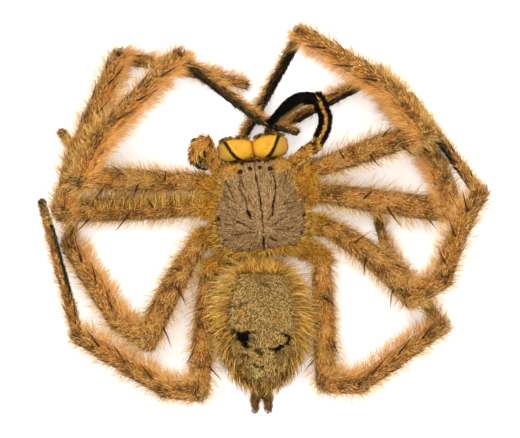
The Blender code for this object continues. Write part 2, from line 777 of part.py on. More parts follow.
def keep_largest(mesh):
    """Leaves only the largest closed surface of a mesh."""
    work = bmesh.new()
    work.from_mesh(mesh)
    waiting = set(work.faces)
    largest = []
    while waiting:
        start = waiting.pop()
        island, front = [start], [start]
        while front:
            face = front.pop()
            for edge in face.edges:
                for other in edge.link_faces:
                    if other in waiting:
                        waiting.remove(other)
                        island.append(other)
                        front.append(other)
        if len(island) > len(largest):
            largest = island
    kept = set(largest)
    bmesh.ops.delete(work, geom=[f for f in work.faces if f not in kept], context="FACES")
    work.to_mesh(mesh)
    work.free()


def in_triangles(mesh):
    """Splits every face of a mesh into triangles, with no slivers."""
    work = bmesh.new()
    work.from_mesh(mesh)
    bmesh.ops.dissolve_degenerate(work, dist=TINY_EDGE, edges=work.edges)
    bmesh.ops.triangulate(work, faces=work.faces)
    work.to_mesh(mesh)
    work.free()


def fused(name, shapes, finish):
    """One closed object from overlapping shapes."""
    core = solid(name, shapes[0], finish)
    if len(shapes) == 1:
        in_triangles(core.data)
        return core
    growth = bpy.data.collections.new(name + "_growth")
    bpy.context.scene.collection.children.link(growth)
    for index, shape in enumerate(shapes[1:]):
        piece = solid(f"{name}_growth_{index}", shape, finish)
        bpy.context.scene.collection.objects.unlink(piece)
        growth.objects.link(piece)
    union = core.modifiers.new("growth", "BOOLEAN")
    union.operation = "UNION"
    union.operand_type = "COLLECTION"
    union.collection = growth
    union.solver = "EXACT"
    bpy.context.view_layer.update()
    graph = bpy.context.evaluated_depsgraph_get()
    joined = bpy.data.meshes.new_from_object(core.evaluated_get(graph))
    core.modifiers.clear()
    core.data = joined
    for piece in list(growth.objects):
        bpy.data.objects.remove(piece, do_unlink=True)
    bpy.data.collections.remove(growth)
    keep_largest(joined)
    in_triangles(joined)
    return core


def build():
    """Makes every node."""
    for old in list(bpy.data.objects):
        bpy.data.objects.remove(old, do_unlink=True)
    hairy = material("brown_hairy_cuticle", SKIN, 0.75)
    gold = material("golden_hairy_cuticle", GOLD, 0.75)
    dark = material("dark_scopula", (0.06, 0.06, 0.04), 0.8)
    shield = material("grey_brown_carapace", (0.27, 0.19, 0.1), 0.8)
    belly = material("olive_abdomen", (0.25, 0.19, 0.07), 0.85)
    amber = material("amber_chelicera", (0.8, 0.39, 0.02), 0.4)
    jet = material("jet_eye", (0.01, 0.008, 0.006), 0.1)
    black = material("black_palp_brush", (0.012, 0.01, 0.008), 0.7)

    shapes = {
        "carapace": [carapace()],
        "sternum": sternum_pieces(),
        "abdomen": abdomen_pieces(),
        "spinnerets": spinneret_pieces(),
    }
    finishes = {"carapace": shield, "sternum": gold, "abdomen": belly, "spinnerets": hairy}
    growth = [("abdomen", growth_of_abdomen())]
    for side in ("left", "right"):
        shapes[f"chelicera_{side}"] = [chelicera(side), fang(side)]
        finishes[f"chelicera_{side}"] = amber
        for name in PALP_STEPS[side]:
            shapes[f"palp_{side}_{name}"] = [palp_segment(side, name)]
            finishes[f"palp_{side}_{name}"] = black if name == "tarsus" else gold
            if name != "femur":
                growth.append((f"palp_{side}_{name}", growth_of_palp(side, name)))
        for label, _, _, _ in EYES:
            shapes[f"eye_{side}_{label}"] = [eye(side, label)]
            finishes[f"eye_{side}_{label}"] = jet
        for number in HIPS:
            for index, name in enumerate(SEGMENTS):
                node = f"leg_{side}_{number}_{name}"
                shapes[node] = [leg_segment(side, number, index)]
                finishes[node] = dark if name in ("metatarsus", "tarsus") else hairy
                growth.append((node, growth_of_leg(side, number, index)))

    trees = {node: [tree_of(shape) for shape in group] for node, group in shapes.items()}
    chance = random.Random(GROWTH_SEED)
    for node, places in growth:
        for place in places:
            grow(node, *place, shapes, trees, chance)
    for node, group in shapes.items():
        fused(node, group, finishes[node])


build()
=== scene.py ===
"""The looks of a life-size huntsman spider: its skin, coat, spines, plates, jaws and eyes.

Lengths are in millimetres and become metres when a mesh is made. The origin is on the floor
under the middle of the sternum, the head points to -Y, and the spider's left is at +X.
"""

import logging
import math
from dataclasses import dataclass, field
from enum import Enum

import bmesh
import bpy
import numpy as np
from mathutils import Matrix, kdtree


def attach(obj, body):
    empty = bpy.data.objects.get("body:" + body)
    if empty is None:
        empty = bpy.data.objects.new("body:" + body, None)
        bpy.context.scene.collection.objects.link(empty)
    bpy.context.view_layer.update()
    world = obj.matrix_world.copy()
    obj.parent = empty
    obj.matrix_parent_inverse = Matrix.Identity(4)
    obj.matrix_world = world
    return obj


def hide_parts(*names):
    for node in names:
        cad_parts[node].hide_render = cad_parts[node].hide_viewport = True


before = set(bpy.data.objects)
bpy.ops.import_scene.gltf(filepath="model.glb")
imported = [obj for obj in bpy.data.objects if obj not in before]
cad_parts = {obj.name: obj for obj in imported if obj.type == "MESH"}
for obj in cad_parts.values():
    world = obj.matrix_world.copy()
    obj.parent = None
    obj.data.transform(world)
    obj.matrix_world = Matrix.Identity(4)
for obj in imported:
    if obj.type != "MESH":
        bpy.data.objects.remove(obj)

LOG = logging.getLogger("huntsman")
Array = np.ndarray
# Points, one to a row, and each face's points by number
Form = tuple[np.ndarray, list[tuple[int, ...]]]
# How far each marking reaches, from 0 to 1 at each place
Marks = dict[str, np.ndarray]
MM = 0.001
UP = np.array([0.0, 0.0, 1.0])
ROOT_BODY = "root"
SEED = 11
# A tuft's patch on the coat's map, the share of it over which roots stray, and a tuft's usual width
UV_PATCH = 0.003
PATCH_STRAY = 0.15
TUFT_WIDTH = 0.12
TURN = 2 * math.pi
# A hair is three-sided, and its first stretch is this share of an even one
HAIR_SIDES = 3
FIRST_STRETCH = 0.76
# How deep a root is sunk in the skin, and how low hairs and their points may lie
ROOT_DEPTH = 0.06
LOWEST_MIDDLE = 0.03
LOWEST_ROOT = 0.02
LOWEST_POINT = 0.01


class Side(Enum):
    """The two sides of the spider, with the sign of their place beside its middle."""

    LEFT = ("left", 1.0)
    RIGHT = ("right", -1.0)

    @property
    def label(self) -> str:
        """The side's name in the names of pieces."""
        return self.value[0]

    @property
    def sign(self) -> float:
        """+1 on the spider's left and -1 on its right."""
        return self.value[1]


class Slot(Enum):
    """Names of material slots, each listed beside a coat piece."""

    LEGS = "leg_coat"
    SCOPULA = "leg_scopula"
    GOLD = "golden_coat"
    CARAPACE = "carapace"
    ABDOMEN = "abdomen"
    CHELICERA = "chelicera"
    PALP = "palp_brush"
    SPINNERET = "spinneret"
    EYE = "eye"


# Small mathematics

def unit(vectors: Array) -> Array:
    """Vectors made one unit long, along their last axis."""
    vectors = np.asarray(vectors, dtype=float)
    return vectors / np.maximum(np.linalg.norm(vectors, axis=-1, keepdims=True), 1e-12)


def smooth_step(low: float, high: float, value: Array) -> Array:
    """0 below low, 1 above high, and a smooth rise between them."""
    share = np.clip((np.asarray(value, dtype=float) - low) / (high - low), 0.0, 1.0)
    return share * share * (3 - 2 * share)


def ripple(points: Array, size: float, seed: int) -> Array:
    """Smooth noise from -1 to 1 over points, from a few crossing waves.

    Args:
        points: Places in millimetres, one to a row.
        size: Length of a typical patch in millimetres.
        seed: Number that picks the waves.

    Returns:
        One value for each point.
    """
    chance = np.random.default_rng(seed)
    total = np.zeros(len(points))
    for _ in range(7):
        wave = unit(chance.normal(size=3)) * chance.uniform(0.7, 1.6) * math.pi / size
        total += np.sin(points @ wave + chance.uniform(0, TURN))
    return np.clip(total / 3.2, -1.0, 1.0)


def lean_over(outward: Array, along: Array, degrees: Array) -> Array:
    """Directions that stand out and lean over by some degrees towards along.

    Args:
        outward: Ways out of a skin, one to a row.
        along: Ways along it.
        degrees: How far they lean over.

    Returns:
        The directions, one to a row.
    """
    flat = unit(along - outward * np.sum(along * outward, axis=-1, keepdims=True))
    turn = np.radians(np.broadcast_to(degrees, outward.shape[:-1]))[..., None]
    return outward * np.cos(turn) + flat * np.sin(turn)


# Node trees

def linear(hex_colour: str) -> tuple[float, float, float, float]:
    """Linear colour of an sRGB hex value.

    Args:
        hex_colour: Colour such as "#c08a2c".

    Returns:
        Red, green, blue and alpha.
    """
    channels = [int(hex_colour[k:k + 2], 16) / 255 for k in (1, 3, 5)]
    flat = [c / 12.92 if c <= 0.04045 else ((c + 0.055) / 1.055) ** 2.4 for c in channels]
    return (*flat, 1.0)


def add_node(tree: bpy.types.NodeTree, kind: str, inputs: dict | None = None,
             **settings: object) -> bpy.types.Node:
    """Adds a node with its settings and links.

    Args:
        tree: Node tree that takes the node.
        kind: Type of the node.
        inputs: Value, or socket to link, for each input by name or number.
        settings: The node's own properties.

    Returns:
        The new node.
    """
    made = tree.nodes.new(kind)
    for name, value in settings.items():
        setattr(made, name, value)
    for key, value in (inputs or {}).items():
        if isinstance(value, bpy.types.NodeSocket):
            tree.links.new(value, made.inputs[key])
        else:
            made.inputs[key].default_value = value
    return made


def bare_material(name: str, values: dict[str, object]) -> tuple[bpy.types.Material, bpy.types.Node]:
    """A new material with the values that hold all over its surface.

    Args:
        name: Name of the material.
        values: The shader's value for each of its sockets by name.

    Returns:
        The material and its shader.
    """
    made = bpy.data.materials.new(name)
    made.use_nodes = True
    shader = made.node_tree.nodes["Principled BSDF"]
    for socket, value in values.items():
        shader.inputs[socket].default_value = value
    return made, shader


@dataclass(frozen=True)
class Palette:
    """Colours of one coat: a ramp of hairs, and what its markings turn it to.

    speckles are shares of the hairs and their colours, from the darkest hair up.
    """

    speckles: tuple[tuple[float, str], ...]
    dark: str
    warm: str
    pale: str

    def colour(self, tree: bpy.types.NodeTree, tint: bpy.types.NodeSocket) -> bpy.types.NodeSocket:
        """Adds the nodes that turn a tint and the mesh's markings into a colour.

        Args:
            tree: Node tree that takes the nodes.
            tint: Socket that picks a hair's own colour, from 0 to 1.

        Returns:
            The colour's socket.
        """
        ramp = add_node(tree, "ShaderNodeValToRGB", {"Fac": tint})
        stops = ramp.color_ramp.elements
        while len(stops) > 1:
            stops.remove(stops[-1])
        for index, (place, shade) in enumerate(self.speckles):
            stop = stops[0] if index == 0 else stops.new(place)
            stop.position = place
            stop.color = linear(shade)
        lit = ramp.outputs["Color"]
        tones = (("warm", 0.85, self.warm), ("pale", 0.85, self.pale), ("dark", 1.0, self.dark))
        for mark, most, shade in tones:
            cover = add_node(tree, "ShaderNodeAttribute", attribute_name=mark).outputs["Fac"]
            share = add_node(tree, "ShaderNodeMath", {0: cover, 1: most}, operation="MULTIPLY").outputs[0]
            lit = add_node(tree, "ShaderNodeMix", {"Factor": share, 6: lit, 7: linear(shade)},
                           data_type="RGBA").outputs[2]
        return lit


BROWN_HAIR = Palette(
    ((0.0, "#3c1a08"), (0.2, "#925822"), (0.45, "#d69846"), (0.7, "#fcc068"), (1.0, "#ffe8ac")),
    dark="#5a2a10", warm="#f6ac56", pale="#ecc868")
# Colours of the soft skin under the coats. Its dark is both the legs' own spots and, under the hind body's
# pile, painted shade in the gaps between the hairs
SKIN_TONES = Palette(
    ((0.0, "#3a1a06"), (0.3, "#844c18"), (0.7, "#b8782e"), (1.0, "#d89a44")),
    dark="#160d05", warm="#e89a44", pale="#d8b468")
GOLDEN_HAIR = Palette(
    ((0.0, "#602f06"), (0.2, "#a86812"), (0.45, "#dc981c"), (0.7, "#f2b836"), (1.0, "#ffdc70")),
    dark="#52210e", warm="#d0762a", pale="#f8e090")
PALP_HAIR = Palette(
    ((0.0, "#a87424"), (0.3, "#dca43c"), (0.7, "#f8c458"), (1.0, "#ffe08c")),
    dark="#080402", warm="#e09030", pale="#f4dc98")
SHIELD_PILE = Palette(
    ((0.0, "#180a02"), (0.22, "#4c2c0d"), (0.38, "#886034"), (0.6, "#b68a5a"), (0.8, "#c49c64"),
     (1.0, "#f2d8a8")),
    dark="#060302", warm="#f2ae42", pale="#e2c474")
BELLY_PILE = Palette(
    ((0.0, "#0c0602"), (0.14, "#2e200c"), (0.22, "#b48e4a"), (0.55, "#e0ba6c"), (0.82, "#ecc066"),
     (1.0, "#fff0c4")),
    dark="#030201", warm="#e89c3c", pale="#ead28c")
# Orange hair of the legs: the hair's own orange, made lighter as painted light for the light that shines
# through the thin hairs
GLOW_HAIR = Palette(
    ((0.0, "#c87418"), (0.5, "#f0a038"), (1.0, "#fcc664")),
    dark="#5c3210", warm="#f0a040", pale="#f0cc7c")
JAW_BRISTLE = Palette(
    ((0.0, "#0c0603"), (0.55, "#2e170a"), (0.8, "#6a4018"), (1.0, "#c08a34")),
    dark="#0a0503", warm="#b07428", pale="#e6ac40")
BLACK_BRUSH = Palette(
    ((0.0, "#040303"), (0.7, "#0d0a08"), (0.95, "#241a10"), (1.0, "#4a3818")),
    dark="#050404", warm="#c39a48", pale="#d9b868")
GREY_SCOPULA = Palette(
    ((0.0, "#1c1a10"), (0.4, "#3f3d2a"), (0.8, "#5e583c"), (1.0, "#7a6a44")),
    dark="#120e08", warm="#a8702c", pale="#8f8450")


@dataclass(frozen=True)
class HairFinish:
    """Bristles of chitin, like coarse natural hair: each is a slightly glossy thread.

    The eye gets a broken, silky shine over a colour that changes from hair to hair, and some finishes add a
    faint painted glow in the tip colour.
    """

    name: str
    palette: Palette
    roughness: float = 0.55
    tip_light: float = 0.15
    tip_colour: str = "#f3d9a0"
    gloss: float = 0.04
    # Strength of a painted glow: an even emission in the tip colour that stands in for light shining through
    # the thin hairs
    painted_glow: float = 0.0

    def build(self) -> bpy.types.Material:
        """Makes the material, which reads each hair's tint, tip and markings.

        Returns:
            The material.
        """
        # The emission is painted glow, not a lamp
        made, shader = bare_material(self.name, {
            "Roughness": self.roughness, "IOR": 1.55, "Specular IOR Level": self.gloss,
            "Emission Color": linear(self.tip_colour), "Emission Strength": self.painted_glow})
        tree = made.node_tree
        tint, tip, dark = (
            add_node(tree, "ShaderNodeAttribute", attribute_name=name).outputs["Fac"]
            for name in ("tint", "tip", "dark"))
        light = add_node(tree, "ShaderNodeMath", {0: 1.0, 1: dark}, operation="SUBTRACT").outputs[0]
        share = tip
        for factor in (self.tip_light, light):
            share = add_node(tree, "ShaderNodeMath", {0: share, 1: factor}, operation="MULTIPLY").outputs[0]
        lighter = add_node(tree, "ShaderNodeMix", {
            "Factor": share, 6: self.palette.colour(tree, tint), 7: linear(self.tip_colour)},
            data_type="RGBA").outputs[2]
        tree.links.new(lighter, shader.inputs["Base Color"])
        return made


@dataclass(frozen=True)
class CuticleFinish:
    """Soft cuticle under a coat: matt, pored and as marked as the hair that grows on it, with painted shade
    that darkens it in mottled patches so that the gaps between the hairs look shadowed.

    Sizes are in millimetres. Real pores are finer: these are coarse enough to show.
    """

    name: str
    palette: Palette
    pore: float = 0.16
    patch: float = 0.9
    depth: float = 0.05
    roughness: float = 0.75
    # How far the painted shade darkens the cuticle, so that the gaps between the hairs look shadowed
    shade: float = 0.7

    def build(self) -> bpy.types.Material:
        """Makes the material, with its bump from pores as far apart as the hairs' roots.

        Returns:
            The material.
        """
        made, shader = bare_material(self.name, {
            "Roughness": self.roughness, "IOR": 1.5, "Specular IOR Level": 0.08})
        tree = made.node_tree
        place = add_node(tree, "ShaderNodeTexCoord").outputs["Object"]
        fine, patches = (
            add_node(tree, "ShaderNodeTexNoise", {"Vector": place, "Scale": 1 / (size * MM)}).outputs["Fac"]
            for size in (self.pore, self.patch))
        tint = add_node(tree, "ShaderNodeMapRange", {"Value": fine, "From Min": 0.3, "From Max": 0.7})
        # Painted shade: a mottled brown multiplied over the colour, standing for the shadow between the
        # hairs
        deep = add_node(tree, "ShaderNodeMix", {
            "Factor": patches, 6: linear("#6d5a48"), 7: linear("#ffffff")}, data_type="RGBA").outputs[2]
        painted_gap_shade = add_node(tree, "ShaderNodeMix", {
            "Factor": self.shade, 6: self.palette.colour(tree, tint.outputs["Result"]), 7: deep},
            data_type="RGBA", blend_type="MULTIPLY").outputs[2]
        tree.links.new(painted_gap_shade, shader.inputs["Base Color"])
        bump = add_node(tree, "ShaderNodeBump", {
            "Height": fine, "Strength": 0.8, "Distance": self.depth * MM})
        tree.links.new(bump.outputs["Normal"], shader.inputs["Normal"])
        return made


@dataclass(frozen=True)
class ChitinFinish:
    """Bare hard chitin: clouds of colour, a finer grain and markings where it has them.

    Sizes are in millimetres, and the grain is coarser than the real one, so that it shows. The
    eye gets a smooth, hard surface whose colour is never quite even.
    """

    name: str
    deep: str
    light: str
    cloud: float
    roughness: float
    refraction: float
    gloss: float
    grain: float = 0.1
    bump: float = 0.0
    depth: float = 0.01
    clouding: float = 1.0
    marks: tuple[tuple[str, str], ...] = ()
    glow_within: float = 0.0

    def build(self) -> bpy.types.Material:
        """Makes the material.

        Returns:
            The material, which reads the mesh's markings.
        """
        made, shader = bare_material(self.name, {
            "Roughness": self.roughness, "IOR": self.refraction, "Specular IOR Level": self.gloss})
        if self.glow_within:
            shader.inputs["Subsurface Weight"].default_value = self.glow_within
            shader.inputs["Subsurface Radius"].default_value = (0.6, 0.3, 0.1)
            shader.inputs["Subsurface Scale"].default_value = 0.6 * MM
        tree = made.node_tree
        place = add_node(tree, "ShaderNodeTexCoord").outputs["Object"]
        share = add_node(tree, "ShaderNodeTexNoise", {
            "Vector": place, "Scale": 1 / (self.cloud * MM)}).outputs["Fac"]
        if self.clouding < 1:
            share = add_node(tree, "ShaderNodeMath", {0: share, 1: self.clouding},
                             operation="MULTIPLY").outputs[0]
        base = add_node(tree, "ShaderNodeMix", {
            "Factor": share, 6: linear(self.deep), 7: linear(self.light)}, data_type="RGBA").outputs[2]
        for mark, shade in self.marks:
            cover = add_node(tree, "ShaderNodeAttribute", attribute_name=mark).outputs["Fac"]
            base = add_node(tree, "ShaderNodeMix", {"Factor": cover, 6: base, 7: linear(shade)},
                            data_type="RGBA").outputs[2]
        tree.links.new(base, shader.inputs["Base Color"])
        if self.bump:
            fine = add_node(tree, "ShaderNodeTexNoise", {
                "Vector": place, "Scale": 1 / (self.grain * MM)}).outputs["Fac"]
            bump = add_node(tree, "ShaderNodeBump", {
                "Height": fine, "Strength": self.bump, "Distance": self.depth * MM})
            tree.links.new(bump.outputs["Normal"], shader.inputs["Normal"])
        return made


# Amber chitin of the jaws, under the finest velvet: the eye sees a soft glow from within
JAW_CHITIN = ChitinFinish(
    "amber_jaw_chitin", deep="#d29628", light="#e2a830", cloud=0.5, grain=0.12, roughness=0.55,
    refraction=1.55, gloss=0.12, bump=0.8, depth=0.04, glow_within=0.06,
    marks=(("warm", "#c8741c"), ("pale", "#ae8434"), ("dark", "#030201")))
# Dense dark chitin of spines, fangs and claws: near black, browner in patches, with a dull shine
SPINE_CHITIN = ChitinFinish(
    "black_spine_chitin", deep="#241208", light="#5a3014", cloud=0.35, grain=0.08, roughness=0.3,
    refraction=1.56, gloss=0.15, bump=0.3, clouding=0.4)
# Clear lens over a black retina: the eye sees a jet bead with a sharp highlight and a faint amber depth
EYE_LENS = ChitinFinish(
    "jet_eye_lens", deep="#050303", light="#1d0f07", cloud=0.3, roughness=0.12, refraction=1.4,
    gloss=0.25)


# Meshes

MARKS = ("dark", "warm", "pale")


def place_piece(name: str, mesh: bpy.types.Mesh, finish: bpy.types.Material) -> bpy.types.Object:
    """Links a mesh as a piece of the spider, with its finish.

    Args:
        name: Name of the piece.
        mesh: Its mesh, in metres.
        finish: Its material.

    Returns:
        The piece.
    """
    mesh.materials.clear()
    mesh.materials.append(finish)
    piece = bpy.data.objects.new(name, mesh)
    bpy.context.scene.collection.objects.link(piece)
    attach(piece, ROOT_BODY)
    return piece


def set_values(mesh: bpy.types.Mesh, name: str, values: Array) -> None:
    """Keeps one number for each point of a mesh."""
    layer = mesh.attributes.new(name, "FLOAT", "POINT")
    layer.data.foreach_set("value", np.ascontiguousarray(values, dtype=np.float32))


def shell_mesh(name: str, points: Array, faces: list[tuple[int, ...]]) -> bpy.types.Mesh:
    """A smooth closed mesh from points in millimetres, with its faces turned outward.

    Args:
        name: Name of the mesh.
        points: Places in millimetres, one to a row.
        faces: Each face's points by number.

    Returns:
        The mesh, in metres.
    """
    mesh = bpy.data.meshes.new(name)
    mesh.from_pydata((points * MM).tolist(), [], faces)
    work = bmesh.new()
    work.from_mesh(mesh)
    bmesh.ops.recalc_face_normals(work, faces=work.faces)
    work.to_mesh(mesh)
    work.free()
    mesh.shade_smooth()
    return mesh


def lofted(rings: Array) -> Form:
    """Points and faces of a skin over rings of points, closed at both ends.

    Args:
        rings: Points as rings, sides and coordinates.

    Returns:
        The points, one to a row, and the faces.
    """
    count, sides, _ = rings.shape
    faces = [
        (r * sides + s, r * sides + (s + 1) % sides, (r + 1) * sides + (s + 1) % sides,
         (r + 1) * sides + s)
        for r in range(count - 1) for s in range(sides)
    ]
    faces.append(tuple(range(sides)))
    faces.append(tuple((count - 1) * sides + s for s in range(sides)))
    return rings.reshape(-1, 3), faces


def joined(forms: list[Form]) -> Form:
    """Several closed forms as one list of points and one of faces.

    Args:
        forms: The points and the faces of each.

    Returns:
        All points, one to a row, and all faces.
    """
    faces, count = [], 0
    for own, sides in forms:
        faces += [tuple(v + count for v in side) for side in sides]
        count += len(own)
    return np.concatenate([own for own, _ in forms]), faces


def chart_of(across: Array, along: Array) -> Array:
    """Places on a map from two shares from 0 to 1, a little inside its edges."""
    return np.stack([across, along], axis=-1) * 0.98 + 0.01


def straight(start: Array, end: Array, count: int = 10) -> Array:
    """Points on a straight line, one to a row."""
    return start + (end - start) * np.linspace(0, 1, count)[:, None]


@dataclass
class Surface:
    """Places on a skin, with the way out of it, the way along it, and their place on its map."""

    points: Array
    outward: Array
    along: Array
    chart: Array

    def picked(self, chosen: Array) -> "Surface":
        """Only some of the places."""
        return Surface(self.points[chosen], self.outward[chosen], self.along[chosen], self.chart[chosen])


@dataclass
class Hairs:
    """Hairs as arrays: one row, or one number, for each."""

    roots: Array
    lie: Array
    bend: Array
    length: Array
    radius: Array
    chart: Array
    marks: Marks
    tint: Array


class Coat:
    """A coat's hairs, grown in tufts and joined in one mesh.

    They are fewer and thicker than the real ones, so that each still shows.
    """

    def __init__(self, seed: int) -> None:
        """Starts a bare coat whose random draws follow a seed."""
        self.chance = np.random.default_rng(seed)
        self.sets: list[tuple[Hairs, int]] = []

    def draws(self, places: Array) -> Array:
        """A random number from 0 to 1 for each place."""
        return self.chance.uniform(0, 1, len(places))

    def lay(self, skin: Surface, lean: Array, tip_lean: Array, length: Array, marks: Marks,
            **look: float) -> None:
        """Grows tufts that lean over by some degrees at the root and at the tip, the way the skin runs."""
        lie, bend = (lean_over(skin.outward, skin.along, degrees) for degrees in (lean, tip_lean))
        self.grow(skin, lie, bend, length, marks, **look)

    def grow(self, skin: Surface, lie: Array, bend: Array, length: Array, marks: Marks,
             radius: float = 0.025, per_tuft: int = 4, spread: float = TUFT_WIDTH, stray: float = 0.14,
             joints: int = 2) -> None:
        """Grows a tuft at each place of a skin.

        Args:
            skin: Places of the tufts' roots.
            lie: Direction of each tuft at its root.
            bend: Direction of each tuft at its tip.
            length: Length of each tuft in millimetres.
            marks: How far each marking reaches at each tuft.
            radius: Radius of a hair at its root in millimetres.
            per_tuft: Number of hairs in a tuft.
            spread: How far apart a tuft's hairs are rooted in millimetres.
            stray: How far a hair's direction strays from its tuft's.
            joints: Number of straight stretches in a hair.
        """
        count = len(skin.points)
        if not count:
            return
        each = np.repeat(np.arange(count), per_tuft)
        total = len(each)
        across = unit(np.cross(skin.outward, skin.along))
        shift = self.chance.normal(size=(total, 2)) * spread * 0.6
        roots = skin.points[each] + skin.along[each] * shift[:, :1] + across[each] * shift[:, 1:]
        roots = roots - skin.outward[each] * ROOT_DEPTH
        own = self.chance.normal(size=(total, 3)) * stray
        inward = -(skin.along[each] * shift[:, :1] + across[each] * shift[:, 1:]) * 0.5
        size = np.broadcast_to(length, (count,))[each] * self.chance.uniform(0.6, 1.15, total)
        lies = unit(lie[each] + own)
        bends = unit(bend[each] + own * 1.4 + inward)
        heights = roots[:, 2] + lies[:, 2] * size * 0.5 + bends[:, 2] * size * 0.5
        sunk = (heights < LOWEST_MIDDLE) | (roots[:, 2] < 0.0)
        bends[sunk, 2] = np.abs(bends[sunk, 2]) + 0.05
        lies[sunk, 2] = np.abs(lies[sunk, 2]) + 0.05
        roots[:, 2] = np.maximum(roots[:, 2], LOWEST_ROOT)
        self.sets.append((Hairs(
            roots, unit(lies), unit(bends), size,
            np.full(total, radius) * self.chance.uniform(0.75, 1.2, total),
            skin.chart[each] + shift / TUFT_WIDTH * UV_PATCH * PATCH_STRAY,
            {name: np.broadcast_to(marks.get(name, 0.0), (count,))[each] for name in MARKS},
            0.8 * self.chance.uniform(0, 1, count)[each] + 0.2 * self.chance.uniform(0, 1, total)), joints))

    def mesh(self, name: str) -> bpy.types.Mesh:
        """One mesh of every hair: three-sided, closed, and tapered to the sunk root and to the tip.

        Args:
            name: Name of the mesh.

        Returns:
            The mesh, with the coat's map, each hair's tint and its markings.
        """
        points, faces, charts = [], [], []
        values: dict[str, list[Array]] = {key: [] for key in (*MARKS, "tint", "tip")}
        start = 0
        for hairs, joints in self.sets:
            count = len(hairs.roots)
            pointed = joints > 1
            rings = joints - 1 if pointed else 1
            per_hair = HAIR_SIDES * rings + 1 + pointed
            grid = np.zeros((count, per_hair, 3))
            tips = np.zeros(per_hair)
            patch = np.zeros((per_hair, 2))
            centre = hairs.roots.copy()
            grid[:, -1 - pointed] = centre
            patch[-1 - pointed] = (0.0, -0.5)
            stretches = np.full(joints, (1 - FIRST_STRETCH / joints) / max(joints - 1, 1))
            stretches[0] = FIRST_STRETCH / joints if pointed else 1.0
            share, spot = 0.0, 0
            for joint in range(joints):
                heading = unit(hairs.lie * (1 - joint / joints) + hairs.bend * joint / joints)
                if joint or not pointed:
                    reference = np.where(np.abs(heading[:, 2:]) > 0.9, [[1.0, 0.0, 0.0]], [UP])
                    first = unit(np.cross(heading, reference))
                    second = np.cross(heading, first)
                    girth = (hairs.radius * (1.1 - 0.45 * share))[:, None]
                    for side in range(HAIR_SIDES):
                        turn = TURN * side / HAIR_SIDES
                        grid[:, spot] = centre + (first * math.cos(turn) + second * math.sin(turn)) * girth
                        tips[spot] = share
                        patch[spot] = ((side - 1) * 0.3, share - 0.5)
                        spot += 1
                centre = centre + heading * (hairs.length * stretches[joint])[:, None]
                share += stretches[joint]
            grid[:, -1] = centre
            tips[-1] = 1.0
            patch[-1] = (0.0, 0.5)
            own = [((side + 1) % HAIR_SIDES, side, per_hair - 2) for side in range(HAIR_SIDES)]
            own = own if pointed else [(2, 1, 0)]
            for low in range(0, (rings - 1) * HAIR_SIDES, HAIR_SIDES):
                high = low + HAIR_SIDES
                for side in range(HAIR_SIDES):
                    after = (side + 1) % HAIR_SIDES
                    own += [(low + side, low + after, high + after), (low + side, high + after, high + side)]
            last = (rings - 1) * HAIR_SIDES
            own += [(last + side, last + (side + 1) % HAIR_SIDES, per_hair - 1)
                    for side in range(HAIR_SIDES)]
            block = np.array(own)[None] + (start + np.arange(count) * per_hair)[:, None, None]
            faces.append(block.reshape(-1, 3))
            points.append(grid.reshape(-1, 3))
            charts.append((hairs.chart[:, None] + patch[None] * UV_PATCH).reshape(-1, 2))
            for key in MARKS:
                values[key].append(np.repeat(hairs.marks[key], per_hair))
            values["tint"].append(np.repeat(hairs.tint, per_hair))
            values["tip"].append(np.tile(tips, count))
            start += count * per_hair
        every, triangles, chart = np.concatenate(points), np.concatenate(faces), np.concatenate(charts)
        every[:, 2] = np.maximum(every[:, 2], LOWEST_POINT)
        mesh = bpy.data.meshes.new(name)
        mesh.vertices.add(len(every))
        mesh.vertices.foreach_set("co", (every * MM).ravel())
        mesh.loops.add(triangles.size)
        mesh.loops.foreach_set("vertex_index", triangles.ravel().astype(np.int32))
        mesh.polygons.add(len(triangles))
        mesh.polygons.foreach_set("loop_start", np.arange(0, triangles.size, 3, dtype=np.int32))
        mesh.update(calc_edges=True)
        layer = mesh.uv_layers.new(name="OFBake")
        layer.data.foreach_set("uv", np.clip(chart[triangles.ravel()], 0, 1).ravel())
        for key, parts in values.items():
            set_values(mesh, key, np.concatenate(parts))
        mesh.shade_smooth()
        return mesh


# The front body's own axes and the limbs

@dataclass(frozen=True)
class FrontBody:
    """The front body: its heading and the height of its hips."""

    heading: float = -83.6
    hip_height: float = 1.4

    @property
    def forward(self) -> Array:
        """Direction in which the head points."""
        turn = math.radians(self.heading)
        return np.array([math.cos(turn), math.sin(turn), 0.0])

    @property
    def leftward(self) -> Array:
        """Direction of the spider's left."""
        ahead = self.forward
        return np.array([-ahead[1], ahead[0], 0.0])

    def place(self, beside: Array, ahead: Array, height: Array) -> Array:
        """World places of points given beside, ahead of and above the sternum's middle."""
        beside, ahead, height = (np.asarray(v, dtype=float)[..., None] for v in (beside, ahead, height))
        return self.leftward * beside + self.forward * ahead + UP * height


BODY = FrontBody()
# Sides of a limb's skin, and the distance between its rings
TUBE_SIDES = 20
TUBE_STEP = 0.3


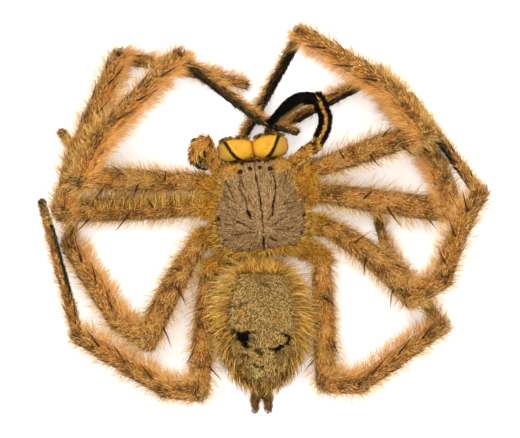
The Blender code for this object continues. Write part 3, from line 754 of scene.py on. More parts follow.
@dataclass
class Limb:
    """One segment of a leg or palp: a centre line with a radius along it."""

    line: Array
    radii: tuple[float, float, float]
    depth: float = 0.98
    chart_start: float = 0.0
    chart_size: float = 1.0
    dense: Array = field(init=False)
    shares: Array = field(init=False)
    length: float = field(init=False)

    def __post_init__(self) -> None:
        """Works out the line's length and the share of it at each of its points."""
        self.dense = np.asarray(self.line, dtype=float)
        steps = np.linalg.norm(np.diff(self.dense, axis=0), axis=1)
        self.length = float(steps.sum())
        self.shares = np.concatenate([[0.0], np.cumsum(steps)]) / self.length

    def girth(self, share: Array) -> Array:
        """Radius of the skin at shares of the length.

        Args:
            share: Shares of the length.

        Returns:
            The radii in millimetres.
        """
        near, middle, far = self.radii
        share = np.clip(share, 0.0, 1.0)
        even = near + (far - near) * share
        return (even + (middle - (near + far) / 2) * np.sin(np.pi * share)) * self.depth

    def middle(self, share: Array) -> tuple[Array, Array]:
        """Places on the centre line, also a little past its ends, and its direction there.

        Args:
            share: Shares of the length, a little below 0 or above 1 past the ends.

        Returns:
            The places and the directions, one to a row.
        """
        inside = np.clip(share, 0.0, 1.0)
        centre = np.stack([np.interp(inside, self.shares, self.dense[:, k]) for k in range(3)], axis=-1)
        slopes = unit(np.gradient(self.dense, axis=0))
        along = unit(np.stack([np.interp(inside, self.shares, slopes[:, k]) for k in range(3)], axis=-1))
        return centre + along * ((share - inside) * self.length)[..., None], along

    def skin(self, share: Array, turn: Array) -> Surface:
        """Places on the skin, also on its round ends, at shares of the length and angles over its top.

        Args:
            share: Shares of the length, a little below 0 or above 1 on the round ends.
            turn: Angles from the left side over the top.

        Returns:
            The places.
        """
        centre, along = self.middle(share)
        sideways, upward = square_to(along)
        around = sideways * np.cos(turn)[:, None] + upward * np.sin(turn)[:, None]
        girth = self.girth(share)
        past = np.clip((share - np.clip(share, 0.0, 1.0)) * self.length / girth, -0.98, 0.98)
        narrower = np.sqrt(1 - past ** 2)[:, None]
        chart = np.stack([
            self.chart_start + self.chart_size * np.clip(share, 0.01, 0.99),
            np.mod(turn / TURN, 1.0) * 0.98 + 0.01], axis=-1)
        return Surface(centre + around * narrower * girth[:, None],
                       unit(around * narrower + along * past[:, None]), along, chart)

    def tube(self) -> Form:
        """A closed tube with rounded ends that run a little into the neighbours.

        Returns:
            Its points and faces.
        """
        past = 0.8 * self.girth(np.array([0.0, 1.0])) / self.length
        rings = max(6, int(self.length / TUBE_STEP))
        reach = 0.5 - 0.5 * np.cos(np.linspace(0, math.pi, rings + 5))
        spots = (-past[0]) + (1 + past.sum()) * (0.35 * reach + 0.65 * np.linspace(0, 1, rings + 5))
        cap = 0.95 * self.girth(np.clip(spots, 0, 1)) / self.length
        near = np.clip((cap - (spots + past[0])) / cap, 0, 0.985)
        far = np.clip((cap - (1 + past[1] - spots)) / cap, 0, 0.985)
        rounding = np.sqrt(1 - near ** 2) * np.sqrt(1 - far ** 2)
        centre, along = self.middle(spots)
        sideways, upward = square_to(along)
        turns = TURN * np.arange(TUBE_SIDES) / TUBE_SIDES
        arms = (sideways[:, None] * np.cos(turns)[None, :, None]
                + upward[:, None] * np.sin(turns)[None, :, None])
        size = (self.girth(spots) * rounding)[:, None, None]
        return lofted(centre[:, None] + arms * size)

    def scattered(self, chance: np.random.Generator, density: float, low: float = 0.0,
                  high: float = 1.0) -> tuple[Array, Array, Surface]:
        """Even random places between two shares of the length and on the round ends past them.

        Args:
            chance: Source of the random draws.
            density: Tufts to a square millimetre.
            low: Lowest share of the length.
            high: Highest share of the length.

        Returns:
            Shares of the length, angles and the skin there.
        """
        middle_girth = float(self.girth(np.array([0.5]))[0])
        past = 0.7 * middle_girth / self.length
        low, high = low - past, high + past
        count = int(density * TURN * middle_girth * self.length * (high - low))
        share, turn = chance.uniform(low, high, count), chance.uniform(0, TURN, count)
        return share, turn, self.skin(share, turn)


def square_to(along: Array) -> tuple[Array, Array]:
    """The level direction and the upper one that are square to a line's own."""
    sideways = unit(np.cross(UP, along))
    return sideways, np.cross(along, sideways)


def curve_through(points: list[Array], per_step: int = 8) -> Array:
    """Points on a smooth curve through the given ones.

    Args:
        points: Places that the curve goes through.
        per_step: Number of points for each step between two places.

    Returns:
        The curve's points, one to a row.
    """
    given = [np.asarray(p, dtype=float) for p in points]
    ends = [2 * given[0] - given[1]] + given + [2 * given[-1] - given[-2]]
    line = []
    for a, b, c, d in zip(ends, ends[1:], ends[2:], ends[3:]):
        for t in np.arange(per_step) / per_step:
            line.append(0.5 * (2 * b + (c - a) * t + (2 * a - 5 * b + 4 * c - d) * t ** 2
                               + (3 * b - a - 3 * c + d) * t ** 3))
    return np.array(line + [given[-1]])


SEGMENTS = ("femur", "patella", "tibia", "metatarsus", "tarsus")
# Radius at the near end, in the middle and at the far end
SEGMENT_RADII = {
    "femur": (0.9, 1.2, 1.04), "patella": (1.04, 1.06, 0.96), "tibia": (0.95, 0.98, 0.78),
    "metatarsus": (0.62, 0.56, 0.5), "tarsus": (0.5, 0.5, 0.36),
}
# Length of each segment's hair, as a share of the longest
FRINGE_REACH = {"femur": 0.95, "patella": 0.9, "tibia": 1.0, "metatarsus": 0.66, "tarsus": 0.42}
# Front to back: lengths of the segments, place of the hip, and girth
PAIRS = {
    1: ((14.2, 5.5, 12.1, 11.4, 4.1), (6.3, 4.6), 0.97),
    2: ((15.2, 5.6, 12.7, 10.4, 3.8), (6.65, 2.0), 1.05),
    3: ((13.1, 4.1, 10.2, 9.9, 3.3), (6.6, -1.55), 1.03),
    4: ((14.1, 3.6, 11.4, 10.9, 4.2), (6.2, -4.95), 0.97),
}
# The pose: each segment's heading on the floor in degrees, and the height of its far end
POSES = {
    (Side.LEFT, 1): ((358, 6.9), (242, 6.6), (226, 4.4), (142, 2.8), (162, 2.5)),
    (Side.LEFT, 2): ((2, 4.4), (257, 4.2), (247, 2.3), (168, 0.9), (166, 0.42)),
    (Side.LEFT, 3): ((62, 4.6), (328, 3.0), (303, 1.6), (263, 0.5), (308, 0.42)),
    (Side.LEFT, 4): ((85, 5.2), (354, 4.6), (329, 3.6), (285, 3.0), (286, 2.2)),
    (Side.RIGHT, 1): ((199, 7.4), (306, 7.1), (328, 6.4), (61, 0.8), (60, 0.42)),
    (Side.RIGHT, 2): ((172, 3.8), (289, 3.9), (303, 1.7), (28, 0.8), (26, 0.42)),
    (Side.RIGHT, 3): ((141, 5.0), (210, 5.3), (247, 6.3), (306, 4.6), (303, 4.2)),
    (Side.RIGHT, 4): ((92, 3.8), (176, 3.6), (215, 1.6), (305, 0.6), (285, 0.42)),
}
# How far a segment bows sideways in millimetres
BOWS = {(Side.LEFT, 3, "femur"): -0.4, (Side.RIGHT, 3, "femur"): 0.8, (Side.RIGHT, 3, "tibia"): 0.45}
# The leg that is a little shorter from the knee on, and by what factor
REGROWN = (Side.RIGHT, 2)
REGROWN_SHARE = 0.96
SLIM = ("metatarsus", "tarsus")
# How squarely a place must face the body to carry orange hair: as a rule, and on some legs
GLOW_EDGE = 0.3
GLOW_EDGES = {(Side.RIGHT, 3): 0.85, (Side.RIGHT, 4): 0.65, (Side.LEFT, 4): 0.6, (Side.LEFT, 3): 0.6,
              (Side.RIGHT, 2): 0.62, (Side.RIGHT, 1): 0.5}
# Legs with a comb of golden hair over the gap in front of their femur
COMBED = ((Side.LEFT, 2),)
# Legs whose foot is covered in long hair
SHAGGY = ((Side.LEFT, 2), (Side.RIGHT, 4))
# How squarely a place on a foot must face away from the brush to be hairy
HAIRY_FROM = {(Side.RIGHT, 4): -0.45, (Side.LEFT, 4): -0.2, (Side.RIGHT, 1): -0.25, (Side.RIGHT, 2): -0.3}
# Feet that are seen from their hairy upper side
GOLDEN_FEET = ((Side.LEFT, 2), (Side.LEFT, 3))
# Tufts round the claws
CLAW_TUFTS = 90
# A spine's sides and rings, and how deep its root is sunk
SPINE_SIDES = 6
SPINE_STATIONS = 6
SPINE_DEPTH = 0.3
# Spines: share of the segment's length, and angle above its inner side
SPINES = {
    "femur": ((0.32, 100), (0.5, 60), (0.68, 145), (0.82, 40)),
    "tibia": ((0.16, 74), (0.26, 158), (0.46, 70), (0.56, 155), (0.76, 72), (0.84, 155)),
    "metatarsus": ((0.12, 66), (0.16, 150), (0.42, 62), (0.5, 140)),
}


@dataclass
class Leg:
    """One leg: its pose, skin, coat, brush and spines."""

    side: Side
    number: int
    spine_length: float = 2.8
    spine_radius: float = 0.11
    parts: dict[str, Limb] = field(init=False)
    coxa: Limb = field(init=False)

    def __post_init__(self) -> None:
        """Lays the segments out end to end from the hip, in the leg's pose."""
        lengths, (beside, ahead), girth = PAIRS[self.number]
        sign = self.side.sign
        hip = BODY.place(sign * beside, ahead, BODY.hip_height)
        start = BODY.place(sign * 1.2, ahead * 0.4, BODY.hip_height - 0.1)
        self.coxa = Limb(straight(start, hip, 12), (0.85 * girth, 1.14 * girth, 0.95 * girth))
        self.parts = {}
        here = hip
        for index, name in enumerate(SEGMENTS):
            heading, height = POSES[self.key][index]
            length = lengths[index]
            if self.key == REGROWN and index > 0:
                length *= REGROWN_SHARE
            plan = math.sqrt(length ** 2 - (height - here[2]) ** 2)
            turn = math.radians(heading)
            there = np.array([here[0] + plan * math.cos(turn), here[1] + plan * math.sin(turn), height])
            share = np.linspace(0, 1, 24)[:, None]
            across = unit(np.cross(UP, there - here))
            bow = BOWS.get((*self.key, name), 0.0)
            line = here + (there - here) * share + across * bow * 4 * share * (1 - share)
            radii = tuple(r * girth for r in SEGMENT_RADII[name])
            self.parts[name] = Limb(line, radii, chart_start=index / 5 + 0.01, chart_size=0.18)
            here = there

    @property
    def label(self) -> str:
        """The leg's name in the names of pieces."""
        return f"{self.side.label}_{self.number}"

    @property
    def key(self) -> tuple[Side, int]:
        """The leg's side and number, by which the tables list it."""
        return self.side, self.number

    @property
    def glow_edge(self) -> float:
        """How squarely a place must face the body to carry orange hair."""
        return GLOW_EDGES.get(self.key, GLOW_EDGE)

    def facing(self, skin: Surface) -> Array:
        """How squarely places on the leg face the spider's middle, from -1 to 1.

        Args:
            skin: The places.

        Returns:
            One value for each place.
        """
        inward = -unit(skin.points * [1.0, 1.0, 0.0] - [0.0, 1.0, 0.0])
        across = inward - skin.along * np.sum(inward * skin.along, axis=1, keepdims=True)
        return np.sum(skin.outward * unit(across), axis=1)

    def glow_side(self, name: str, skin: Surface) -> Array:
        """How squarely places lie on the orange side: the inner one, but the outer one where slim."""
        return self.facing(skin) * (-1 if name in SLIM else 1)

    def marks(self, name: str, skin: Surface, share: Array) -> Marks:
        """How far the leg's markings reach at places on one segment.

        Args:
            name: Name of the segment.
            skin: The places.
            share: Each place's share of the segment's length.

        Returns:
            A value from 0 to 1 for each marking and place.
        """
        facing = self.glow_side(name, skin)
        blotch = 0.6 * ripple(skin.points, 0.9, 3 + self.number)
        blotch = blotch + 0.5 * ripple(skin.points, 1.9, 12 + self.number)
        gold = ripple(skin.points, 2.4, 20 + self.number)
        joint = np.exp(-((1.0 - share) / 0.08) ** 2) + 0.8 * np.exp(-(share / 0.06) ** 2)
        upper = smooth_step(-0.2, 0.4, skin.outward[:, 2])
        spot = joint * upper * smooth_step(-0.3, 0.5, ripple(skin.points, 1.1, 8))
        dark = np.clip(0.62 * smooth_step(0.12, 0.6, blotch) * upper + 0.95 * spot, 0, 0.92)
        if name in SLIM:
            dark = np.maximum(dark, 0.95 * (1 - self.hairy_half(name, skin, share)))
        if name == "femur":
            warm = 0.3 * smooth_step(0.1, 0.8, gold)
            pale = 0.35 * smooth_step(0.0, 0.6, -blotch)
        elif name == "metatarsus":
            warm, pale = 0.3 * smooth_step(0.1, 0.8, facing), 0.0 * share
        elif name == "tarsus":
            warm, pale = 0.15 * smooth_step(0.1, 0.8, facing), 0.0 * share
        else:
            warm = 0.85 * smooth_step(self.glow_edge - 0.2, self.glow_edge + 0.15, facing)
            pale = 0.15 * smooth_step(0.2, 0.9, -facing)
        return {"dark": dark * (1 - 0.9 * warm), "warm": warm, "pale": pale}

    def hairy_half(self, name: str, skin: Surface, share: Array) -> Array:
        """Which places of a slim segment carry hair and not the smooth brush.

        Args:
            name: Name of the segment.
            skin: The places.
            share: Each place's share of the segment's length.

        Returns:
            True where hair grows.
        """
        golden = self.key in GOLDEN_FEET
        bare_from = 0.45 if name == "metatarsus" and self.number > 2 else -1.0
        edge = HAIRY_FROM.get(self.key, 0.1)
        edge = edge - 0.9 * smooth_step(bare_from + 0.1, bare_from - 0.1, share)
        hairy = self.glow_side(name, skin) > edge
        return hairy | (golden & (skin.outward[:, 2] > 0.0))

    def off_glow(self, name: str, skin: Surface, chance: np.random.Generator) -> Array:
        """Which places of a segment lie off its orange side, with a ragged border."""
        edge = self.glow_edge + 0.25 * chance.uniform(-1, 1, len(skin.points))
        return self.glow_side(name, skin) < (2.0 if name == "femur" else edge)

    def reach(self, name: str) -> float:
        """How long one segment's hair is, as a share of the longest."""
        shaggy = self.key in SHAGGY and name in SLIM
        return 0.9 if shaggy else FRINGE_REACH[name]

    def coat(self, coat: Coat) -> None:
        """Grows the short pile, and over it the long hair that lies along the leg.

        Args:
            coat: Coat that takes the hair.
        """
        for name, limb in self.parts.items():
            self.pile(coat, name, limb)
            self.strands(coat, name, limb)
            self.straw(coat, name, limb)

    def comb(self, coat: Coat) -> None:
        """Grows golden hair side by side over the front half of the femur and the gap before it.

        Args:
            coat: Coat that takes the hair.
        """
        limb = self.parts["femur"]
        _, _, skin = limb.scattered(coat.chance, 17.0, 0.0, 0.74)
        ragged = 0.25 * ripple(skin.points, 1.6, 71)
        skin = skin.picked((skin.outward[:, 1] < 0.15 + ragged) & (skin.outward[:, 2] > -0.2))
        ahead = np.tile([0.1, -1.0, 0.3], (len(skin.points), 1))
        fleck = coat.draws(skin.points)
        coat.grow(skin, unit(0.8 * skin.outward + ahead), unit(ahead - [0.0, 0.0, 0.5]), 1.85,
                  {"pale": 0.3 * (fleck > 0.6), "dark": 0.6 * (fleck < 0.2)}, radius=0.03, per_tuft=2,
                  spread=0.1, stray=0.1)

    def pile(self, coat: Coat, name: str, limb: Limb) -> None:
        """Grows one segment's short dense pile, which hides the skin.

        Args:
            coat: Coat that takes the hair.
            name: Name of the segment.
            limb: The segment.
        """
        share, _, skin = limb.scattered(coat.chance, 9.0)
        if name in SLIM:
            hairy = self.hairy_half(name, skin, share)
            share, skin = share[hairy], skin.picked(hairy)
        lean = coat.chance.uniform(30, 60, len(share))
        coat.lay(skin, lean, lean + 12, 0.28 if name in SLIM else 0.38, self.marks(name, skin, share),
                 radius=0.036, per_tuft=3, spread=0.08, stray=0.18, joints=1)

    def strands(self, coat: Coat, name: str, limb: Limb) -> None:
        """Grows one segment's long hair, in light and dark strands that lie towards the foot.

        Args:
            coat: Coat that takes the hair.
            name: Name of the segment.
            limb: The segment.
        """
        share, _, skin = limb.scattered(coat.chance, 20.0)
        shown = skin.outward[:, 2] > -0.35
        if name in SLIM:
            shown &= self.hairy_half(name, skin, share)
        else:
            shown &= self.off_glow(name, skin, coat.chance)
        share, skin = share[shown], skin.picked(shown)
        marks = self.marks(name, skin, share)
        kind = coat.draws(share)
        marks["dark"] = np.where(kind < 0.27, np.maximum(marks["dark"], 0.8), 0.45 * marks["dark"])
        marks["pale"] = np.where(kind > 0.76, 0.5, marks["pale"])
        lean = coat.chance.uniform(58, 78, len(share)) - (28 if name in SLIM else 0)
        coat.lay(skin, lean, lean + 10, (1.4 if name in SLIM else 0.95) * self.reach(name), marks,
                 radius=0.027, per_tuft=1, spread=0.06, stray=0.17)
        share, _, _ = limb.scattered(coat.chance, 0.9)
        rearward = np.where(limb.skin(share, 0.0 * share).outward[:, 1] > 0, 0.0, math.pi)
        turn = rearward + np.where(rearward > 0, -1, 1) * np.radians(coat.chance.normal(24, 9, len(share)))
        skin = limb.skin(share, turn)
        coat.lay(skin, 76, 88, 1.1 * self.reach(name), {"dark": 0.9}, radius=0.032, per_tuft=3, spread=0.1,
                 stray=0.06)

    def fringe(self, coat: Coat) -> None:
        """Grows the orange hair that stands out on one side of the leg, from the knee on.

        Args:
            coat: Coat that takes the hair.
        """
        for name, limb in self.parts.items():
            if name != "femur":
                self.glow(coat, name, limb)

    def straw(self, coat: Coat, name: str, limb: Limb) -> None:
        """Grows one segment's long straw-coloured hair, and the short fine hair of its flanks.

        Args:
            coat: Coat that takes the hair.
            name: Name of the segment.
            limb: The segment.
        """
        share, turn, skin = limb.scattered(coat.chance, 14.5)
        flank = np.abs(np.cos(turn))
        chosen = coat.draws(share) < 0.1 + 0.9 * smooth_step(0.45, 0.9, flank)
        if name in SLIM:
            chosen &= self.glow_side(name, skin) > -0.2
        elif self.number < 3:
            chosen &= self.off_glow(name, skin, coat.chance)
        flank, skin = flank[chosen], skin.picked(chosen)
        orange = coat.draws(flank) < 0.4
        coat.lay(skin, 14, 62,
                 2.8 * self.reach(name) * (0.4 + 0.6 * flank) * coat.chance.uniform(0.4, 1.1, len(flank)),
                 {"pale": np.where(orange, 0.3, 0.8), "warm": 0.35 * orange}, radius=0.024, per_tuft=1,
                 spread=0.3, stray=0.22)
        _, turn, skin = limb.scattered(coat.chance, 13.0)
        chosen = (np.abs(np.cos(turn)) > 0.62) & (skin.outward[:, 2] > -0.5)
        if name in SLIM:
            chosen &= self.glow_side(name, skin) > 0.0
        skin = skin.picked(chosen)
        orange = coat.draws(skin.points) < 0.6
        coat.lay(skin, 40, 52, 1.25 * self.reach(name), {"warm": 0.6 * orange, "dark": 0.35 * (1 - orange)},
                 radius=0.022, per_tuft=1, spread=0.1, stray=0.2, joints=1)

    def glow(self, coat: Coat, name: str, limb: Limb) -> None:
        """Grows one segment's dense fine orange hair, pale at the tips.

        Args:
            coat: Coat that takes the hair.
            name: Name of the segment.
            limb: The segment.
        """
        share, _, skin = limb.scattered(coat.chance, 23.0 if self.number < 3 else 15.0)
        edge = self.glow_edge + coat.chance.uniform(-0.1, 0.25, len(share))
        inner = (self.glow_side(name, skin) > edge) & (np.abs(skin.outward[:, 2] - 0.05) < 0.75)
        if name in SLIM:
            inner &= coat.draws(share) < (0.45 if self.number < 3 else 0.2)
        share, skin = share[inner], skin.picked(inner)
        lean = 10 + 52 * np.clip(skin.outward[:, 2], 0, 1)
        coat.lay(skin, lean, lean + 22, 2.3 * self.reach(name) * coat.chance.uniform(0.55, 1.1, len(share)),
                 {"pale": 0.05}, radius=0.021, per_tuft=3, spread=0.24, stray=0.15)

    def brush(self, coat: Coat) -> None:
        """Grows the smooth grey-green brush of the last two segments, and the claw tuft.

        Args:
            coat: Coat that takes the hair.
        """
        for name in SLIM:
            limb = self.parts[name]
            share, turn, skin = limb.scattered(coat.chance, 22.0, 0.02, 1.0)
            side = self.glow_side(name, skin)
            bare = (np.sin(turn) < 0.0) | ~self.hairy_half(name, skin, share)
            share, side, skin = share[bare], side[bare], skin.picked(bare)
            line = 0.85 * smooth_step(-0.5, -0.8, side) * smooth_step(0.9, 0.6, share)
            dark = np.maximum(line, 0.4 * smooth_step(0, 0.5, ripple(skin.points, 1.0, 9)))
            coat.lay(skin, 62, 80, 0.42, {"dark": dark}, radius=0.034, per_tuft=4, spread=0.1, stray=0.08,
                     joints=1)
            _, _, skin = limb.scattered(coat.chance, 5.0, 0.05, 0.95)
            skin = skin.picked((self.glow_side(name, skin) < -0.35) & (skin.outward[:, 2] > -0.2))
            coat.lay(skin, 45, 62, 0.8 * self.reach(name) + 0.3, {"dark": 1.0}, radius=0.03, per_tuft=1,
                     spread=0.1, stray=0.12)
        limb = self.parts["tarsus"]
        golden = float(self.key in GOLDEN_FEET)
        share = coat.chance.uniform(0.9, 1.08, CLAW_TUFTS)
        skin = limb.skin(share, coat.chance.uniform(0, TURN, CLAW_TUFTS))
        coat.lay(skin, 45, 60, 0.38, {"dark": 0.8 * (share > 0.97) * (1 - golden), "warm": 0.7 * golden},
                 radius=0.032, per_tuft=4, spread=0.1, stray=0.25)

    def spines(self) -> bpy.types.Mesh:
        """The long dark spines, bent towards the foot, and two claws at the leg's tip.

        Returns:
            One mesh of them all.
        """
        chance = np.random.default_rng(SEED + self.number)
        starts = []
        for name, table in SPINES.items():
            limb = self.parts[name]
            share = np.array([s for s, _ in table]) + chance.uniform(-0.03, 0.03, len(table))
            turn = np.radians([d for _, d in table])
            inner = self.facing(limb.skin(share, 0.0 * share)) > 0
            skin = limb.skin(share, np.where(inner, turn, math.pi - turn))
            for k, inside in enumerate(self.facing(skin) > 0):
                lean = 48 if inside and name != "metatarsus" else 70
                length = self.spine_length * (1.0 if inside else 0.7) * chance.uniform(0.85, 1.1)
                heading = unit(skin.outward[k] * [1.0, 1.0, 0.25])
                starts.append((skin.points[k] + skin.outward[k] * 0.2, heading, skin.along[k], length,
                               self.spine_radius, (lean, lean + 12)))
        skin = self.parts["tarsus"].skin(np.array([0.99, 0.99]), np.array([0.6, math.pi - 0.6]))
        for k in range(2):
            starts.append((skin.points[k], skin.outward[k], skin.along[k], 0.55, 0.07, (60, 110)))
        forms = []
        turns = TURN * np.arange(SPINE_SIDES) / SPINE_SIDES
        for root, outward, along, length, radius, leans in starts:
            place = root - outward * SPINE_DEPTH
            rings = []
            for share in np.arange(SPINE_STATIONS) / (SPINE_STATIONS - 1):
                heading = lean_over(outward, along, leans[0] + (leans[1] - leans[0]) * share)
                first = unit(np.cross(heading, UP))
                second = np.cross(heading, first)
                size = radius * (1 - 0.93 * share ** 1.5)
                arms = first * np.cos(turns)[:, None] + second * np.sin(turns)[:, None]
                rings.append(place + arms * size)
                place = place + heading * length / (SPINE_STATIONS - 1)
            forms.append(lofted(np.array(rings)))
        every, faces = joined(forms)
        every[:, 2] = np.maximum(every[:, 2], LOWEST_POINT)
        return shell_mesh(f"spines_leg_{self.label}", every, faces)


# A palp's start beside, ahead and above, its stops from there, and its radii
PALP_BASE = (4.0, 5.6, 2.0)
PALP_STEPS = {
    Side.RIGHT: {
        "femur": ((3.05, 1.7, 1.8),),
        "tibia": ((4.3, 4.1, 2.4), (3.8, 6.7, 2.7)),
        "tarsus": ((1.55, 6.7, 2.6), (-1.45, 4.9, 2.1)),
    },
    Side.LEFT: {
        "femur": ((0.95, 2.6, 1.8),),
        "tibia": ((1.3, 3.3, 2.9), (2.05, 2.7, 3.2), (2.3, 1.7, 2.6)),
        "tarsus": ((1.9, 1.0, 1.8), (1.45, 0.6, 1.1)),
    },
}
PALP_RADII = {
    Side.RIGHT: {"femur": (0.58, 0.7, 0.7), "tibia": (0.7, 0.72, 0.62), "tarsus": (0.52, 0.66, 0.2)},
    Side.LEFT: {"femur": (0.66, 0.8, 0.8), "tibia": (0.84, 0.9, 0.8), "tarsus": (0.6, 0.56, 0.2)},
}


@dataclass
class Palp:
    """One palp: a short feeler beside the jaws, whose last segment is a black brush."""

    side: Side
    parts: dict[str, Limb] = field(init=False)
    root: Limb = field(init=False)

    def __post_init__(self) -> None:
        """Runs the palp's three lengths through its steps."""
        sign = self.side.sign
        base = BODY.place(sign * PALP_BASE[0], PALP_BASE[1], PALP_BASE[2])
        start = BODY.place(sign * 1.1, 3.4, 1.2)
        self.root = Limb(straight(start, base), (0.7, 0.72, 0.58))
        self.parts = {}
        here = base
        for index, (name, steps) in enumerate(PALP_STEPS[self.side].items()):
            offsets = np.array(steps) + PALP_BASE
            stops = [here] + [BODY.place(sign * b, a, h) for b, a, h in offsets]
            self.parts[name] = Limb(curve_through(stops), PALP_RADII[self.side][name],
                                    chart_start=index / 3 + 0.01, chart_size=0.31)
            here = stops[-1]

    def coat(self, coat: Coat) -> None:
        """Grows golden hair, black at both edges of the right tibia and spotted elsewhere.

        Args:
            coat: Coat that takes the hair.
        """
        for name in ("femur", "tibia"):
            limb = self.parts[name]
            share, turn, skin = limb.scattered(coat.chance, 20.0)
            dark = 0.95 * smooth_step(0.1, 0.24, ripple(skin.points, 0.6, 31))
            length, lean = np.full(len(share), 0.4), 55.0
            if name == "tibia" and self.side is Side.RIGHT:
                edge = smooth_step(0.2, 0.34, np.abs(np.cos(turn))) * smooth_step(0.04, 0.12, share)
                dark = np.maximum(edge, dark * smooth_step(0.2, 0.05, share))
                length, lean = 0.36 + 0.2 * edge, 55 + 9 * edge
            elif name == "tibia":
                length, lean = 0.3 + 0.35 * coat.draws(share), 46.0
            coat.lay(skin, lean, lean + 14, length, {"dark": dark}, radius=0.03, per_tuft=4, spread=0.07,
                     stray=0.1, joints=1)

    def brush(self, coat: Coat) -> None:
        """Grows the black brush of the last segment, with a straw-coloured streak along its side.

        Args:
            coat: Coat that takes the hair.
        """
        limb = self.parts["tarsus"]
        share, turn, skin = limb.scattered(coat.chance, 30.0)
        streak = smooth_step(0.55, 0.9, np.cos(turn))
        pale = 0.6 * streak * (share > 0.25) * (share < 0.85)
        size = 0.7 + 0.2 * np.sin(share * math.pi)
        if self.side is Side.LEFT:
            pale = 0.85 * (np.abs(np.cos(turn - 0.6)) > 0.45)
            size = np.full(len(share), 0.42)
        coat.lay(skin, 70, 86, size, {"pale": pale}, radius=0.034, per_tuft=5, spread=0.12, stray=0.06)


# The carapace

# Its edge: degrees from straight ahead, and distance from the middle
CARAPACE_EDGE = (
    (0, 5.25), (20, 5.55), (39, 5.95), (59, 4.95), (80, 4.93), (95, 5.3),
    (108, 5.8), (123, 6.2), (136, 6.25), (150, 5.7), (165, 5.2), (180, 5.0),
)
# Lines drawn in the velvet: points beside and ahead, then half width in mm and strength
CARAPACE_DARK = (
    (((0.05, 5.9), (0.0, 4.6)), 0.06, 0.95),
    (((0.0, 4.6), (-0.1, 3.9), (-0.2, 1.8), (-0.2, 0.0)), 0.1, 1.0),
    (((-0.2, 0.0), (-0.1, -1.6)), 0.07, 0.95),
    (((-0.1, -2.0), (0.0, -3.4)), 0.15, 1.0),
    (((1.5, 4.8), (2.0, 3.4), (1.7, 2.7), (1.3, 1.9), (1.3, 0.6), (0.9, -0.1)), 0.09, 0.9),
    (((1.3, 0.8), (1.0, 0.1)), 0.18, 1.0),
    (((-1.8, 4.7), (-2.1, 3.5), (-1.8, 2.2), (-1.6, 1.1), (-1.3, 0.2), (-0.7, -0.3)), 0.09, 0.9),
    (((-1.6, 1.5), (-1.3, 0.2)), 0.15, 1.0),
    (((4.0, 5.1), (3.2, 4.2), (2.9, 3.2), (2.7, 2.4)), 0.1, 0.9),
    (((-3.4, 4.3), (-3.1, 3.7), (-2.7, 2.8)), 0.09, 0.8),
    (((-2.6, 1.0), (-3.0, 1.4), (-3.5, 1.2), (-3.5, 0.9)), 0.1, 0.95),
    (((3.4, 1.6), (2.8, 1.3), (2.3, 0.8)), 0.1, 0.75),
    (((3.9, -0.3), (3.3, -0.5)), 0.09, 0.75),
    (((2.6, -0.2), (1.9, -0.5), (1.0, -1.1)), 0.1, 1.0),
    (((3.4, -1.5), (2.0, -1.5), (0.7, -1.5)), 0.1, 0.85),
    (((-1.0, -1.1), (-2.0, -0.5), (-2.8, -0.3)), 0.09, 0.85),
    (((-1.3, -1.5), (-2.5, -1.6), (-3.5, -1.4)), 0.08, 0.8),
    (((-0.7, -2.2), (-1.4, -2.7)), 0.11, 0.9),
    (((4.7, 0.4), (4.5, 0.3)), 0.28, 1.0),
    (((5.0, -1.6), (4.9, -1.5)), 0.23, 0.95),
    (((-4.7, -0.3), (-4.6, -0.3)), 0.18, 0.95),
)
CARAPACE_PALE = (
    (((0.22, 6.0), (0.2, 4.0), (0.12, 1.8), (0.08, 0.6)), 0.045, 0.5),
)


